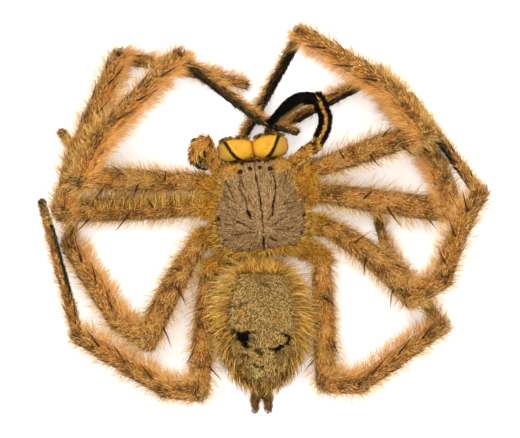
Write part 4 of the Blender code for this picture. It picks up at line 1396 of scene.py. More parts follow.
@dataclass
class Carapace:
    """The shield over the front body, with its fovea, grooves and velvet."""

    middle: float = 1.0
    rim_bottom: float = 2.8
    rim_top: float = 3.1
    crown: float = 5.42
    head_drop: float = 0.5
    fovea: float = -0.9
    map_width: float = 14.0
    sectors: int = 160

    def reach(self, angle: Array) -> Array:
        """How far the edge is from the middle, at degrees from straight ahead.

        Args:
            angle: Degrees from straight ahead.

        Returns:
            Distances in millimetres.
        """
        angle = np.abs(np.mod(np.asarray(angle, dtype=float) + 180, 360) - 180)
        at = np.array([a for a, _ in CARAPACE_EDGE], dtype=float)
        out = np.array([r for _, r in CARAPACE_EDGE], dtype=float)
        before = np.concatenate([[out[1]], out[:-1]])
        beyond = np.concatenate([out[1:], [out[-2]]])
        k = np.clip(np.searchsorted(at, angle, side="right") - 1, 0, len(at) - 2)
        t = (angle - at[k]) / (at[k + 1] - at[k])
        low = (out[k + 1] - before[k]) / 2
        high = (beyond[k + 1] - out[k]) / 2
        return ((2 * t ** 3 - 3 * t ** 2 + 1) * out[k] + (t ** 3 - 2 * t ** 2 + t) * low
                + (3 * t ** 2 - 2 * t ** 3) * out[k + 1] + (t ** 3 - t ** 2) * high)

    def around(self, angle: Array, share: Array) -> tuple[Array, Array]:
        """Places beside and ahead, at degrees from straight ahead and shares of the way to the edge."""
        reach = self.reach(angle) * share
        return reach * np.sin(np.radians(angle)), self.middle + reach * np.cos(np.radians(angle))

    def edge_share(self, beside: Array, ahead: Array) -> Array:
        """Share of the way from the middle to the edge."""
        forward = ahead - self.middle
        return np.hypot(beside, forward) / self.reach(np.degrees(np.arctan2(beside, forward)))

    def furrow(self, beside: Array, ahead: Array) -> Array:
        """Depth of the fovea, the head's two grooves and the rays.

        Args:
            beside: Places beside the middle line.
            ahead: Places ahead of the sternum's middle.

        Returns:
            Depths in millimetres.
        """
        beside = np.abs(beside)
        fovea = 0.3 * np.exp(-(beside / 0.3) ** 2 - ((ahead - self.fovea) / 1.2) ** 2)
        line = 0.9 + 0.42 * (ahead - self.fovea)
        groove = 0.18 * np.exp(-((beside - line) / 0.45) ** 2) * smooth_step(-1.3, -0.6, ahead)
        groove = groove * smooth_step(4.4, 3.6, ahead)
        angle = np.degrees(np.arctan2(beside, ahead - self.fovea))
        ray = 0.14 * np.maximum(0, np.cos(np.radians((angle - 70) * 9))) * np.minimum(1, beside / 2.5)
        return np.maximum(np.maximum(fovea, groove), ray * smooth_step(55, 65, angle))

    def height(self, beside: Array, ahead: Array) -> Array:
        """Height of the upper face.

        Args:
            beside: Places beside the middle line.
            ahead: Places ahead of the sternum's middle.

        Returns:
            Heights in millimetres.
        """
        angle = np.degrees(np.arctan2(beside, ahead - self.middle))
        share = np.minimum(1.0, self.edge_share(beside, ahead))
        steep = 2.6 + 3.4 * np.maximum(0, np.cos(np.radians(angle))) ** 4
        crown = self.crown - self.head_drop * np.maximum(0, (ahead - self.fovea) / 7)
        rise = np.maximum(1 - share ** steep, 0) ** 0.6
        return self.rim_top + (crown - self.rim_top) * rise - self.furrow(beside, ahead) * rise

    def outward(self, beside: Array, ahead: Array) -> Array:
        """Direction out of the upper face.

        Args:
            beside: Places beside the middle line.
            ahead: Places ahead of the sternum's middle.

        Returns:
            The directions, one to a row.
        """
        step = 0.06
        across = (self.height(beside + step, ahead) - self.height(beside - step, ahead)) / (2 * step)
        onward = (self.height(beside, ahead + step) - self.height(beside, ahead - step)) / (2 * step)
        return unit(UP - BODY.leftward * across[:, None] - BODY.forward * onward[:, None])

    def marks(self, beside: Array, ahead: Array) -> Marks:
        """How far the carapace's markings reach at places beside and ahead.

        Args:
            beside: Places beside the middle line.
            ahead: Places ahead of the sternum's middle.

        Returns:
            A value from 0 to 1 for each marking and place.
        """
        flat = BODY.place(beside, ahead, 0.0 * beside)
        waver = np.stack([ripple(flat, 0.5, 51), ripple(flat, 0.5, 52)], axis=-1)
        spots = np.stack([beside, ahead], axis=-1) + 0.05 * waver
        angle = np.arctan2(beside, ahead - self.fovea)
        rays = smooth_step(0.75, 0.97, np.cos(angle * 17 + 0.8 * np.sin(angle * 5)))
        rays = rays * smooth_step(1.0, 2.4, np.hypot(beside, ahead - self.fovea))
        rays = rays * smooth_step(0.1, 0.5, ripple(flat, 0.9, 53))
        dark = np.maximum(strokes(spots, CARAPACE_DARK), 0.7 * rays)
        front = smooth_step(4.3, 5.4, ahead + 0.35 * waver[:, 0])
        corner = front * smooth_step(1.2, 2.4, np.abs(beside + 0.25))
        share = self.edge_share(beside, ahead)
        rear = smooth_step(0.84, 0.98, share) * smooth_step(-1.6, -3.2, ahead)
        rear = rear * smooth_step(1.0, 2.5, np.abs(beside))
        pale = strokes(spots, CARAPACE_PALE)
        return {"dark": np.maximum(dark * (1 - 0.9 * pale), 0.35 * rear),
                "warm": np.maximum(0.9 * corner, 0.12 * front), "pale": pale}

    def shell(self) -> bpy.types.Mesh:
        """The plate: a domed upper face with its grooves, a thin rim and a flat underside.

        Returns:
            The plate's mesh, with its markings.
        """
        shares = np.concatenate([[0.02], np.linspace(0.06, 0.9, 34), [0.93, 0.955, 0.975, 0.99, 1.0]])
        angles = 360.0 * np.arange(self.sectors) / self.sectors
        rings = []
        under = [(1.0, self.rim_bottom + 0.1), (0.97, self.rim_bottom), (0.3, self.rim_bottom)]
        for share, level in [(share, None) for share in shares] + under:
            beside, ahead = self.around(angles, share)
            height = self.height(beside, ahead) if level is None else np.full(self.sectors, level)
            rings.append(np.stack([beside, ahead, height], axis=-1))
        points, faces = lofted(np.array(rings))
        mesh = shell_mesh("carapace_plate", BODY.place(points[:, 0], points[:, 1], points[:, 2]), faces)
        for key, value in self.marks(points[:, 0], points[:, 1]).items():
            set_values(mesh, key, value)
        return mesh

    def scattered(self, chance: np.random.Generator, count: int, low: float = 0.0,
                  high: float = 1.0) -> tuple[Array, Array]:
        """Random places beside and ahead, between two shares of the way to the edge.

        Args:
            chance: Source of the random draws.
            count: Number of draws.
            low: Lowest share of the way.
            high: Highest share of the way.

        Returns:
            Places beside and places ahead.
        """
        angle = chance.uniform(0, 360, count)
        share = np.sqrt(chance.uniform(low ** 2, high ** 2, count))
        keep = chance.uniform(0, 6.3, count) < self.reach(angle)
        return self.around(angle[keep], share[keep])

    def skin(self, beside: Array, ahead: Array) -> Surface:
        """Places on the upper face, with the way that the velvet lies.

        Args:
            beside: Places beside the middle line.
            ahead: Places ahead of the sternum's middle.

        Returns:
            The places.
        """
        away = unit(np.stack([beside, ahead - self.fovea], axis=-1) + 1e-6)
        on_head = smooth_step(0.5, 2.5, ahead) * smooth_step(2.6, 1.6, np.abs(beside))
        lie = unit(away * (1 - on_head[:, None]) + np.array([0.0, 1.0]) * on_head[:, None])
        along = BODY.leftward * lie[:, :1] + BODY.forward * lie[:, 1:]
        chart = 0.5 + np.stack([beside, ahead - self.middle], axis=-1) / self.map_width
        return Surface(BODY.place(beside, ahead, self.height(beside, ahead)),
                       self.outward(beside, ahead), unit(along), chart)

    def velvet(self, coat: Coat) -> None:
        """Grows the short grey-brown velvet and the strands that lie over it, parted at the dark lines.

        Args:
            coat: Coat that takes the hair.
        """
        layers = ((8600, 0.3, 0.045, 3, 0.2), (7500, 0.5, 0.048, 1, 0.0))
        for count, length, radius, per_tuft, keep in layers:
            beside, ahead = self.scattered(coat.chance, count)
            marks = self.marks(beside, ahead)
            clear = (marks["dark"] < 0.45) | (coat.draws(beside) < keep)
            marks = {key: value[clear] for key, value in marks.items()}
            skin = self.skin(beside[clear], ahead[clear])
            coat.lay(skin, 60, 74, length, marks, radius=radius, per_tuft=per_tuft, spread=0.05, stray=0.1,
                     joints=1)

    def ruff(self, coat: Coat) -> None:
        """Grows the golden hair round the edge: long behind, short and upright at the front corners.

        Args:
            coat: Coat that takes the hair.
        """
        beside, ahead = self.scattered(coat.chance, 4200, 0.8, 1.03)
        share = self.edge_share(beside, ahead)
        corner = (ahead > 4.4) & (np.abs(beside + 0.25) > 1.9)
        wanted = corner | ((share > 0.87) & ((ahead < 3.4) | (np.abs(beside) > 3.0)))
        beside, ahead, corner = beside[wanted], ahead[wanted], corner[wanted]
        skin = self.skin(beside, ahead)
        rear = smooth_step(-1.0, -3.4, ahead)
        marks = {"dark": 0.8 * (coat.draws(beside) < 0.22), "pale": 0.35 * (coat.draws(beside) < 0.3)}
        length = np.where(corner, 0.42, (0.65 + 0.6 * rear) * coat.chance.uniform(0.4, 1.5, len(beside)))
        coat.lay(skin, 38, 66, length, marks, radius=0.032, per_tuft=2, spread=0.09, stray=0.45)


def strokes(spots: Array, lines: tuple) -> Array:
    """How strongly drawn lines cover places on a flat chart.

    Args:
        spots: Places, two coordinates to a row.
        lines: For each line its points, its half width and its strength.

    Returns:
        A value from 0 to 1 for each place.
    """
    cover = np.zeros(len(spots))
    for points, half_width, strength in lines:
        stops = np.array(points, dtype=float)
        for a, b in zip(stops, stops[1:]):
            step = b - a
            share = np.clip((spots - a) @ step / max(float(step @ step), 1e-9), 0, 1)
            distance = np.linalg.norm(spots - a - share[:, None] * step, axis=1)
            cover = np.maximum(cover, strength * smooth_step(1.4 * half_width, 0.6 * half_width, distance))
    return cover


# The abdomen

# Its marks: points in x and y, then half width in mm and strength
ABDOMEN_DARK = (
    (((0.0, 7.3), (-0.8, 7.3)), 0.21, 0.7),
    (((2.2, 9.5), (1.5, 9.3)), 0.16, 0.75),
    (((3.5, 9.7), (2.9, 9.8)), 0.13, 0.7),
    (((2.9, 12.4), (2.8, 13.1)), 0.39, 0.9),
    (((2.4, 12.6), (1.3, 12.6)), 0.31, 1.0),
    (((2.2, 13.1), (1.4, 13.2)), 0.44, 1.0),
    (((1.8, 13.6), (1.6, 14.0)), 0.34, 1.0),
    (((0.8, 12.4), (0.6, 12.5)), 0.17, 0.85),
    (((0.2, 12.5), (0.1, 12.5)), 0.18, 0.8),
    (((1.1, 13.9), (1.0, 14.0)), 0.16, 0.8),
    (((0.4, 14.5), (0.0, 14.9)), 0.29, 0.9),
    (((0.8, 13.1), (0.7, 13.2)), 0.16, 0.8),
    (((0.5, 13.7), (0.4, 13.8)), 0.16, 0.8),
    (((-2.0, 12.8), (-2.4, 12.6)), 0.13, 0.7),
    (((-2.4, 12.6), (-3.1, 13.1), (-3.0, 13.6), (-2.4, 14.0), (-1.7, 14.4), (-1.1, 14.4)), 0.17, 1.0),
    (((-3.1, 13.0), (-3.05, 13.5)), 0.26, 0.9),
    (((-1.7, 14.4), (-1.7, 14.6)), 0.23, 0.9),
    (((2.1, 15.1), (1.4, 15.1)), 0.2, 0.85),
    (((1.9, 15.6), (1.8, 16.1)), 0.17, 0.8),
    (((-2.0, 14.7), (-2.0, 15.3)), 0.13, 0.6),
    (((0.6, 16.2), (-0.2, 16.3)), 0.17, 0.9),
)
ABDOMEN_WARM = (
    (((0.1, 6.4), (-0.2, 6.7)), 0.25, 0.35),
    (((2.1, 10.1), (1.7, 10.6)), 0.26, 0.9),
    (((1.7, 11.0), (1.45, 11.7)), 0.28, 0.95),
    (((-2.0, 10.8), (-1.6, 11.5)), 0.28, 0.95),
)
ABDOMEN_PALE = (
    (((0.8, 9.4), (0.4, 9.4)), 0.35, 0.35),
    (((-0.8, 9.6), (-1.3, 9.7)), 0.35, 0.35),
    (((0.7, 16.7), (0.0, 16.7)), 0.25, 0.95),
    (((0.3, 17.0), (0.3, 17.5)), 0.3, 0.7),
)


@dataclass
class Abdomen:
    """The hind body, with its speckled pile, its marks and its golden flanks."""

    x: float = -0.15
    front: float = 4.9
    rear: float = 18.5
    half_width: float = 4.5
    half_height: float = 3.55
    middle_height: float = 3.4
    depth: float = 0.96
    bluntness: float = 0.42
    sides: int = 64

    def place(self, share: Array, turn: Array) -> Array:
        """Places on the skin at shares of the length and angles from the left over the top.

        Args:
            share: Shares of the length.
            turn: Angles from the left side over the top.

        Returns:
            The places, one to a row.
        """
        share = np.clip(share, 0.003, 0.997)
        girth = np.sin(np.pi * share) ** self.bluntness
        middle = self.middle_height - 0.9 * (1 - girth)
        return np.stack([
            self.x + self.half_width * self.depth * girth * np.cos(turn),
            self.front + (self.rear - self.front) * share,
            middle + self.half_height * self.depth * girth * np.sin(turn)], axis=-1)

    def skin(self, share: Array, turn: Array) -> Surface:
        """Places on the skin, with the way back along it.

        Args:
            share: Shares of the length.
            turn: Angles from the left side over the top.

        Returns:
            The places.
        """
        step = 0.004
        here = self.place(share, turn)
        back = self.place(share + step, turn) - self.place(share - step, turn)
        over = self.place(share, turn + step) - self.place(share, turn - step)
        chart = chart_of(share, np.mod(turn / TURN, 1.0))
        return Surface(here, unit(np.cross(back, over)), unit(back), chart)

    def body(self) -> Form:
        """The closed form of the hind body.

        Returns:
            Its points and faces.
        """
        shares = 0.5 - 0.5 * np.cos(np.linspace(0.09, math.pi - 0.09, 60))
        turns = TURN * np.arange(self.sides) / self.sides
        return lofted(np.array([self.place(np.full(self.sides, s), turns) for s in shares]))

    def marks(self, points: Array) -> Marks:
        """How far the markings of the back reach at places.

        Args:
            points: Places, one to a row.

        Returns:
            A value from 0 to 1 for each marking and place.
        """
        spots = points[:, :2] + 0.12 * np.stack([ripple(points, 0.6, 41), ripple(points, 0.6, 42)], axis=-1)
        above = smooth_step(2.6, 4.0, points[:, 2])
        return {
            "dark": strokes(spots, ABDOMEN_DARK) * above,
            "warm": strokes(spots, ABDOMEN_WARM) * above,
            "pale": strokes(spots, ABDOMEN_PALE) * above,
        }

    def scattered(self, chance: np.random.Generator, count: int) -> tuple[Array, Array]:
        """Random shares and angles, even over the skin.

        Args:
            chance: Source of the random draws.
            count: Number of draws.

        Returns:
            Shares of the length and angles.
        """
        share = chance.uniform(0.01, 0.99, count)
        turn = chance.uniform(0, TURN, count)
        keep = chance.uniform(0, 1, count) < np.sin(np.pi * share) ** self.bluntness
        return share[keep], turn[keep]

    def pile(self, coat: Coat) -> None:
        """Grows the short speckled pile.

        Args:
            coat: Coat that takes the hair.
        """
        share, turn = self.scattered(coat.chance, 28500)
        skin = self.skin(share, turn)
        marks = self.marks(skin.points)
        marks["dark"] = np.maximum(marks["dark"], 0.9 * (coat.draws(share) < 0.14))
        marks["warm"] = marks["warm"] * (coat.draws(share) < 0.88)
        coat.lay(skin, 40, 60, 0.3, marks, radius=0.043, per_tuft=2, spread=0.06, stray=0.2, joints=1)

    def flanks(self, coat: Coat) -> None:
        """Grows the longer hair: a brown layer below, curved golden hair over it and a golden front band.

        Args:
            coat: Coat that takes the hair.
        """
        layers = ((12000, 1.2, 3, 0.027, False), (7200, 2.7, 1, 0.034, True))
        for count, length, per_tuft, radius, over in layers:
            share, turn = self.scattered(coat.chance, count)
            side = np.abs(np.cos(turn))
            rear = smooth_step(0.45, 0.85, share)
            behind = (0.2 if over else 0.4) * rear * smooth_step(0.2, 0.7, side)
            wanted = np.maximum(smooth_step(0.7, 0.97, side), behind)
            wanted = np.maximum(wanted, 0.7 * smooth_step(0.88, 0.97, share)) * (np.sin(turn) > -0.75)
            chosen = coat.draws(share) < wanted
            share, turn, side, rear = (v[chosen] for v in (share, turn, side, rear))
            skin = self.skin(share, turn)
            fleck = coat.draws(share)
            if over:
                marks = {"pale": 0.4 * (fleck > 0.6), "dark": 0.7 * rear * (fleck < 0.5)}
            else:
                marks = {"dark": 0.3 + 0.45 * rear + 0.25 * (fleck < 0.3), "pale": 0.15}
            lean = 6 + 34 * rear
            coat.lay(skin, lean, lean + (44 if over else 16),
                     length * (0.8 + 0.25 * side) * (1 - 0.25 * rear), marks, radius=radius,
                     per_tuft=per_tuft, spread=0.12, stray=0.18, joints=3 if over else 2)
        band = 1500
        share = coat.chance.uniform(0.01, 0.1, band)
        turn = coat.chance.uniform(0.1, math.pi - 0.1, band)
        skin = self.skin(share, turn)
        fleck = coat.draws(share)
        coat.lay(skin, -20, -34, np.where(fleck < 0.65, 0.85, 1.3), {"dark": 0.75 * (fleck < 0.65)},
                 radius=0.036, per_tuft=2, spread=0.12, stray=0.32)


# The long and the short spinneret: radii, and points beside, behind and above the hind body's end
SPINNERET_LINES = (
    ((0.5, 0.54, 0.4), ((0.42, 0.25, 1.7), (0.72, 0.9, 1.55), (0.74, 1.8, 1.4), (0.72, 2.6, 1.35))),
    ((0.42, 0.42, 0.3), ((0.3, 0.2, 1.3), (0.36, 0.8, 1.1), (0.36, 1.5, 1.0))),
)


@dataclass
class Spinnerets:
    """The spinnerets at the rear: a long pair and a short pair on one base."""

    x: float = -0.15
    rear: float = 18.5

    def limbs(self) -> list[Limb]:
        """The base and the four spinnerets as tapering lengths.

        Returns:
            The four spinnerets, then their base.
        """
        made = []
        for sign in (1, -1):
            for radii, line in SPINNERET_LINES:
                made.append(Limb(np.array(line) * [sign, 1, 1] + [self.x, self.rear, 0.0], radii, 0.85))
        base = np.array(((-0.75, 0.35, 1.7), (0.0, -0.2, 1.9), (0.75, 0.35, 1.7))) + [self.x, self.rear, 0.0]
        return made + [Limb(base, (0.45, 0.6, 0.45), 1.0)]

    def coat(self, coat: Coat) -> None:
        """Grows their dark brown hair, tipped with gold.

        Args:
            coat: Coat that takes the hair.
        """
        for limb in self.limbs()[:4]:
            _, turn, skin = limb.scattered(coat.chance, 26.0)
            flank = np.abs(np.cos(turn))
            coat.lay(skin, 50, 72, 0.42, {"warm": 0.9 * (flank > 0.8) + 0.4 * (flank < 0.3)}, radius=0.026,
                     per_tuft=3, spread=0.1, stray=0.2)


# The sternum, hips and skin

# The fold between jaws and carapace: points beside and ahead
BROW_LINE = ((3.35, 7.0), (2.4, 6.65), (1.98, 6.4), (1.23, 6.2), (0.55, 6.33), (-0.33, 6.34), (-0.86, 6.12),
             (-1.3, 6.12), (-2.0, 6.38), (-2.9, 6.5))


@dataclass
class Trunk:
    """The middle of the front body: sternum, stalk and brow."""

    half_width: float = 2.6
    half_length: float = 3.2
    sides: int = 48

    def block(self) -> Form:
        """The sternum's closed form, flat where it rests on the floor.

        Returns:
            Its points and faces.
        """
        turns = TURN * np.arange(self.sides) / self.sides
        rings = []
        for height, share in ((0.0, 0.8), (0.2, 0.93), (0.5, 1.0), (1.6, 1.0), (2.4, 0.95), (2.9, 0.8)):
            rings.append(BODY.place(self.half_width * share * np.sin(turns),
                                    0.1 + self.half_length * share * np.cos(turns),
                                    np.full(self.sides, height)))
        return lofted(np.array(rings))

    def stalk(self, hind: Abdomen) -> Limb:
        """The stalk between the front and hind body."""
        end = np.array([hind.x, hind.front + 1.4, 2.3])
        return Limb(straight(BODY.place(0.0, -2.6, 1.7), end), (0.75, 0.7, 0.75), 1.0)

    def face(self) -> Limb:
        """The soft brow between the carapace's front edge and the jaws."""
        stops = ((-3.0, 5.9), (-1.5, 6.35), (0.0, 6.45), (1.5, 6.35), (3.0, 5.9))
        return Limb(curve_through([BODY.place(b, a, 2.75) for b, a in stops]), (0.5, 0.66, 0.5), 1.0)

    def bridge(self) -> Limb:
        """The soft tissue between the two jaws."""
        return Limb(curve_through([BODY.place(0.0, a, 2.0) for a in (5.6, 6.8, 8.2)]), (0.8, 0.8, 0.5), 1.0)

    def brow(self, coat: Coat) -> None:
        """Grows the golden hair of the brow, with dark hairs among it.

        Args:
            coat: Coat that takes the hair.
        """
        limb = self.face()
        _, turn, skin = limb.scattered(coat.chance, 46.0)
        skin = skin.picked(np.sin(turn) > -0.2)
        ahead = np.tile(BODY.forward, (len(skin.points), 1))
        dark = 0.9 * (coat.draws(skin.points) < 0.3)
        coat.grow(skin, lean_over(skin.outward, ahead, 25), lean_over(skin.outward, ahead, 50), 0.45,
                  {"dark": dark}, radius=0.03, per_tuft=3, spread=0.1, stray=0.3, joints=1)

    def brow_line(self, coat: Coat) -> None:
        """Grows the ragged row of black bristles in the fold between the jaws and the carapace.

        Args:
            coat: Coat that takes the hair.
        """
        line = curve_through([BODY.place(b, a - 0.08, 3.5) for b, a in BROW_LINE])
        count = 380
        picked = coat.chance.integers(0, len(line), count)
        points = line[picked] + coat.chance.normal(size=(count, 3)) * [0.1, 0.05, 0.02]
        kept = ripple(points, 0.5, 61) > -0.25
        points = points[kept]
        skin = Surface(points, np.tile(UP, (len(points), 1)), np.tile(BODY.forward, (len(points), 1)),
                       chart_of(picked[kept] / len(line), np.full(len(points), 0.5)))
        coat.lay(skin, 20, -30, 0.45, {}, radius=0.042, per_tuft=3, spread=0.05, stray=0.5)


@dataclass
class Skin:
    """The soft skin of legs, palps, sternum and hind body, as one closed surface, and the hips' coat."""

    legs: list[Leg]
    palps: list[Palp]
    trunk: Trunk
    hind: Abdomen
    spinnerets: Spinnerets
    voxel: float = 0.19

    def mesh(self) -> bpy.types.Mesh:
        """Joins every form and draws one smooth surface round them all.

        Returns:
            The skin's mesh, with the markings of its coat.
        """
        forms = [self.trunk.block(), self.trunk.stalk(self.hind).tube(), self.hind.body()]
        forms += [limb.tube() for limb in (self.trunk.face(), self.trunk.bridge(), *self.spinnerets.limbs())]
        for leg in self.legs:
            forms += [limb.tube() for limb in (leg.coxa, *leg.parts.values())]
        for palp in self.palps:
            forms += [limb.tube() for limb in (palp.root, *palp.parts.values())]
        rough = shell_mesh("skin_forms", *joined(forms))
        piece = bpy.data.objects.new("skin_forms", rough)
        bpy.context.scene.collection.objects.link(piece)
        fit = piece.modifiers.new("skin", "REMESH")
        fit.mode = "VOXEL"
        fit.voxel_size = self.voxel * MM
        ease = piece.modifiers.new("ease", "SMOOTH")
        ease.factor = 0.5
        ease.iterations = 4
        bpy.context.view_layer.update()
        graph = bpy.context.evaluated_depsgraph_get()
        mesh = bpy.data.meshes.new_from_object(piece.evaluated_get(graph))
        bpy.data.objects.remove(piece, do_unlink=True)
        places = np.zeros(len(mesh.vertices) * 3)
        mesh.vertices.foreach_get("co", places)
        places = places.reshape(-1, 3)
        places[:, 2] = np.maximum(places[:, 2], 0.0)
        mesh.vertices.foreach_set("co", places.ravel())
        mesh.update()
        mesh.shade_smooth()
        self.mark(mesh, places / MM)
        return mesh

    def mark(self, mesh: bpy.types.Mesh, places: Array) -> None:
        """Gives the skin the markings of the coat that grows on it.

        Args:
            mesh: The skin's mesh.
            places: Its points in millimetres.
        """
        samples, values = [], []
        share, turn = (g.ravel() for g in np.meshgrid(np.linspace(0, 1, 40), np.linspace(0, TURN, 16)))
        for leg in self.legs:
            for name, limb in leg.parts.items():
                skin = limb.skin(share, turn)
                marks = leg.marks(name, skin, share)
                samples.append(skin.points)
                values.append(np.stack([marks[key] for key in MARKS], axis=-1))
            skin = leg.coxa.skin(share, turn)
            samples.append(skin.points)
            values.append(np.tile([0.2, 0.8, 0.0], (len(share), 1)))
        for palp in self.palps:
            for name, limb in palp.parts.items():
                samples.append(limb.skin(share, turn).points)
                tone = np.tile([1.0, 0.0, 0.0] if name == "tarsus" else [0.2, 0.6, 0.1], (len(share), 1))
                if name == "tibia" and palp.side is Side.RIGHT:
                    tone[:, 0] = np.maximum(0.2, np.abs(np.cos(turn)) > 0.3)
                values.append(tone)
        tree_points = np.concatenate(samples)
        tree_values = np.concatenate(values)
        tree = kdtree.KDTree(len(tree_points))
        for index, point in enumerate(tree_points):
            tree.insert(point, index)
        tree.balance()
        nearest = np.array([tree.find(point)[1] for point in places])
        found = tree_values[nearest]
        on_hind = (places[:, 1] > self.hind.front - 0.3) & (np.abs(places[:, 0] - self.hind.x) < 4.7)
        hind = self.hind.marks(places)
        hind["pale"] = np.maximum(hind["pale"], 0.6)
        # Painted shade: under the hind body's pile the skin is at least this dark, so that the gaps between
        # the hairs read as shadow
        hind["dark"] = np.maximum(hind["dark"], 0.6)
        hind["warm"] = 0.0 * hind["warm"]
        for index, key in enumerate(MARKS):
            set_values(mesh, key, np.where(on_hind, hind[key], found[:, index]))

    def hips_coat(self, coat: Coat) -> None:
        """Grows the long golden hair of the hips, in a tangle round the carapace.

        Args:
            coat: Coat that takes the hair.
        """
        for limb in [leg.coxa for leg in self.legs] + [palp.root for palp in self.palps]:
            _, turn, skin = limb.scattered(coat.chance, 15.0, 0.3, 1.08)
            upper = smooth_step(-0.4, 0.5, np.sin(turn))
            marks = {"dark": 0.1 + 0.6 * smooth_step(0.2, 0.6, ripple(skin.points, 0.8, 17)),
                     "warm": 0.35 * smooth_step(0.1, 0.8, ripple(skin.points, 1.4, 18))}
            coat.lay(skin, 22, 48, 0.5 + 0.5 * upper, marks, radius=0.03, per_tuft=3, spread=0.08,
                     stray=0.36)
            _, turn, skin = limb.scattered(coat.chance, 15.0, 0.3, 1.08)
            skin = skin.picked(np.sin(turn) > 0.0)
            marks = {"pale": 0.4 * (coat.draws(skin.points) < 0.4),
                     "dark": 0.8 * (coat.draws(skin.points) < 0.15)}
            coat.lay(skin, 34, 62, 1.15, marks, radius=0.036, per_tuft=1, spread=0.1, stray=0.5)


# Jaws and eyes

# The black line on each jaw: points beside and ahead
JAW_LINE = ((3.05, 8.8), (2.75, 8.2), (2.4, 7.5), (1.95, 6.85), (1.5, 6.5))


@dataclass
class Jaw:
    """One chelicera: a bulging amber lobe with a black line, and the fang below it."""

    side: Side
    beside: float = 1.9
    ahead: float = 7.74
    half_width: float = 1.93
    half_depth: float = 1.26
    bottom: float = 1.5
    top: float = 4.6
    widest: float = 0.5
    squareness: float = 0.68
    line_width: float = 0.21
    sides: int = 72

    def place(self, share: Array, turn: Array) -> tuple[Array, Array, Array]:
        """Places beside, ahead and high, at shares of the height and angles round the lobe.

        Args:
            share: Shares of the lobe's height.
            turn: Angles round it.

        Returns:
            Places beside, places ahead and heights.
        """
        below = 0.5 + 0.5 * np.sin(np.clip(share / self.widest, 0, 1) * math.pi / 2)
        above = np.sqrt(1 - np.clip((share - self.widest) / (1 - self.widest), 0, 0.99995) ** 2.3)
        size = np.where(share < self.widest, below, above)
        c, s = np.cos(turn), np.sin(turn)
        wide = np.copysign(np.abs(c) ** self.squareness, c) * self.half_width * size
        deep = np.copysign(np.abs(s) ** self.squareness, s) * self.half_depth * size
        ahead = self.ahead - 0.3 * smooth_step(self.widest, 0.0, share) + deep
        return self.beside + wide, ahead, self.bottom + (self.top - self.bottom) * share

    def lobe(self) -> bpy.types.Mesh:
        """The lobe, a rounded dome on a narrower foot, with its markings.

        Returns:
            The lobe's mesh.
        """
        turns = TURN * np.arange(self.sides) / self.sides
        dome = 0.5 + 0.5 * np.sin(np.linspace(0.08, 1.0, 18) * math.pi / 2)
        shares = np.concatenate([np.linspace(0, 0.5, 12), dome])
        rings = [np.stack(self.place(np.full(self.sides, share), turns), axis=-1) for share in shares]
        chart, faces = lofted(np.array(rings))
        beside, ahead = chart[:, 0], chart[:, 1]
        places = BODY.place(self.side.sign * beside, ahead, chart[:, 2])
        mesh = shell_mesh(f"jaw_{self.side.label}", places, faces)
        stops = np.array(JAW_LINE)[::-1]
        line = np.interp(ahead, stops[:, 1], stops[:, 0])
        upper = smooth_step(2.4, 3.0, chart[:, 2])
        cover = strokes(chart[:, :2], ((JAW_LINE, self.line_width, 1.0),))
        set_values(mesh, "dark", cover * upper)
        set_values(mesh, "warm", 0.5 * smooth_step(0.35, 0.05, beside))
        set_values(mesh, "pale", 0.85 * smooth_step(0.0, 0.25, beside - line))
        return mesh

    def fang(self) -> bpy.types.Mesh:
        """The fang, folded under the lobe towards the midline.

        Returns:
            The fang's mesh.
        """
        path = curve_through([BODY.place(self.side.sign * b, a, h) for b, a, h in (
            (2.0, 7.35, 1.8), (1.7, 7.2, 1.4), (1.0, 6.75, 1.33), (0.45, 6.2, 1.4))], 6)
        limb = Limb(path, (0.34, 0.26, 0.06), 1.0)
        return shell_mesh(f"fang_{self.side.label}", *limb.tube())

    def rim(self, coat: Coat) -> None:
        """Grows the dark bristles along the front of the lobe and the fine hair of its sides and top.

        Args:
            coat: Coat that takes the hair.
        """
        sign = self.side.sign
        bristles, nap = 5200, 1500
        turn = coat.chance.uniform(0, TURN, bristles)
        share = coat.chance.uniform(0.1, 0.95, bristles)
        beside, ahead, height = self.place(share, turn)
        points = BODY.place(sign * beside, ahead, height)
        c, s = np.cos(turn), np.sin(turn)
        outward = unit(BODY.leftward * (sign * c)[:, None] / self.half_width
                       + BODY.forward * s[:, None] / self.half_depth + UP * ((share - 0.5) * 0.9)[:, None])
        chart = chart_of(turn / TURN, share)
        skin = Surface(points, outward, np.tile(-UP, (len(turn), 1)), chart)
        front = (s > 0.6) & (share < 0.8) & (share > 0.5) & (coat.draws(s) < 0.55)
        chosen = skin.picked(front)
        onward = BODY.forward + UP * 0.3
        coat.grow(chosen, unit(chosen.outward + 0.6 * onward), unit(0.5 * chosen.outward + onward), 0.5,
                  {"pale": 0.8 * (coat.draws(chosen.points) < 0.25)}, radius=0.03, per_tuft=2, spread=0.05,
                  stray=0.5)
        side = (s <= 0.35) & (share < 0.5) & (c > -0.3)
        chosen = skin.picked(side)
        coat.lay(chosen, 50, 70, 0.4, {"warm": 0.8}, radius=0.022, per_tuft=3, spread=0.15)
        turn = coat.chance.uniform(0, TURN, nap)
        share = 1 - 0.48 * coat.chance.uniform(0, 1, nap) ** 2
        beside, ahead, height = self.place(share, turn)
        rise = unit(BODY.leftward * (sign * (beside - self.beside))[:, None] / self.half_width ** 2
                    + BODY.forward * (ahead - self.ahead)[:, None] / self.half_depth ** 2 + UP * 0.6)
        skin = Surface(BODY.place(sign * beside, ahead, height), rise, np.tile(BODY.forward, (len(turn), 1)),
                       chart_of(turn / TURN, share))
        free = strokes(np.stack([beside, ahead], axis=-1), ((JAW_LINE, 1.7 * self.line_width, 1.0),)) < 0.1
        skin = skin.picked(free)
        coat.lay(skin, 60, 75, 0.24, {"pale": 1.0}, radius=0.014, per_tuft=2, spread=0.1, stray=0.2,
                 joints=1)


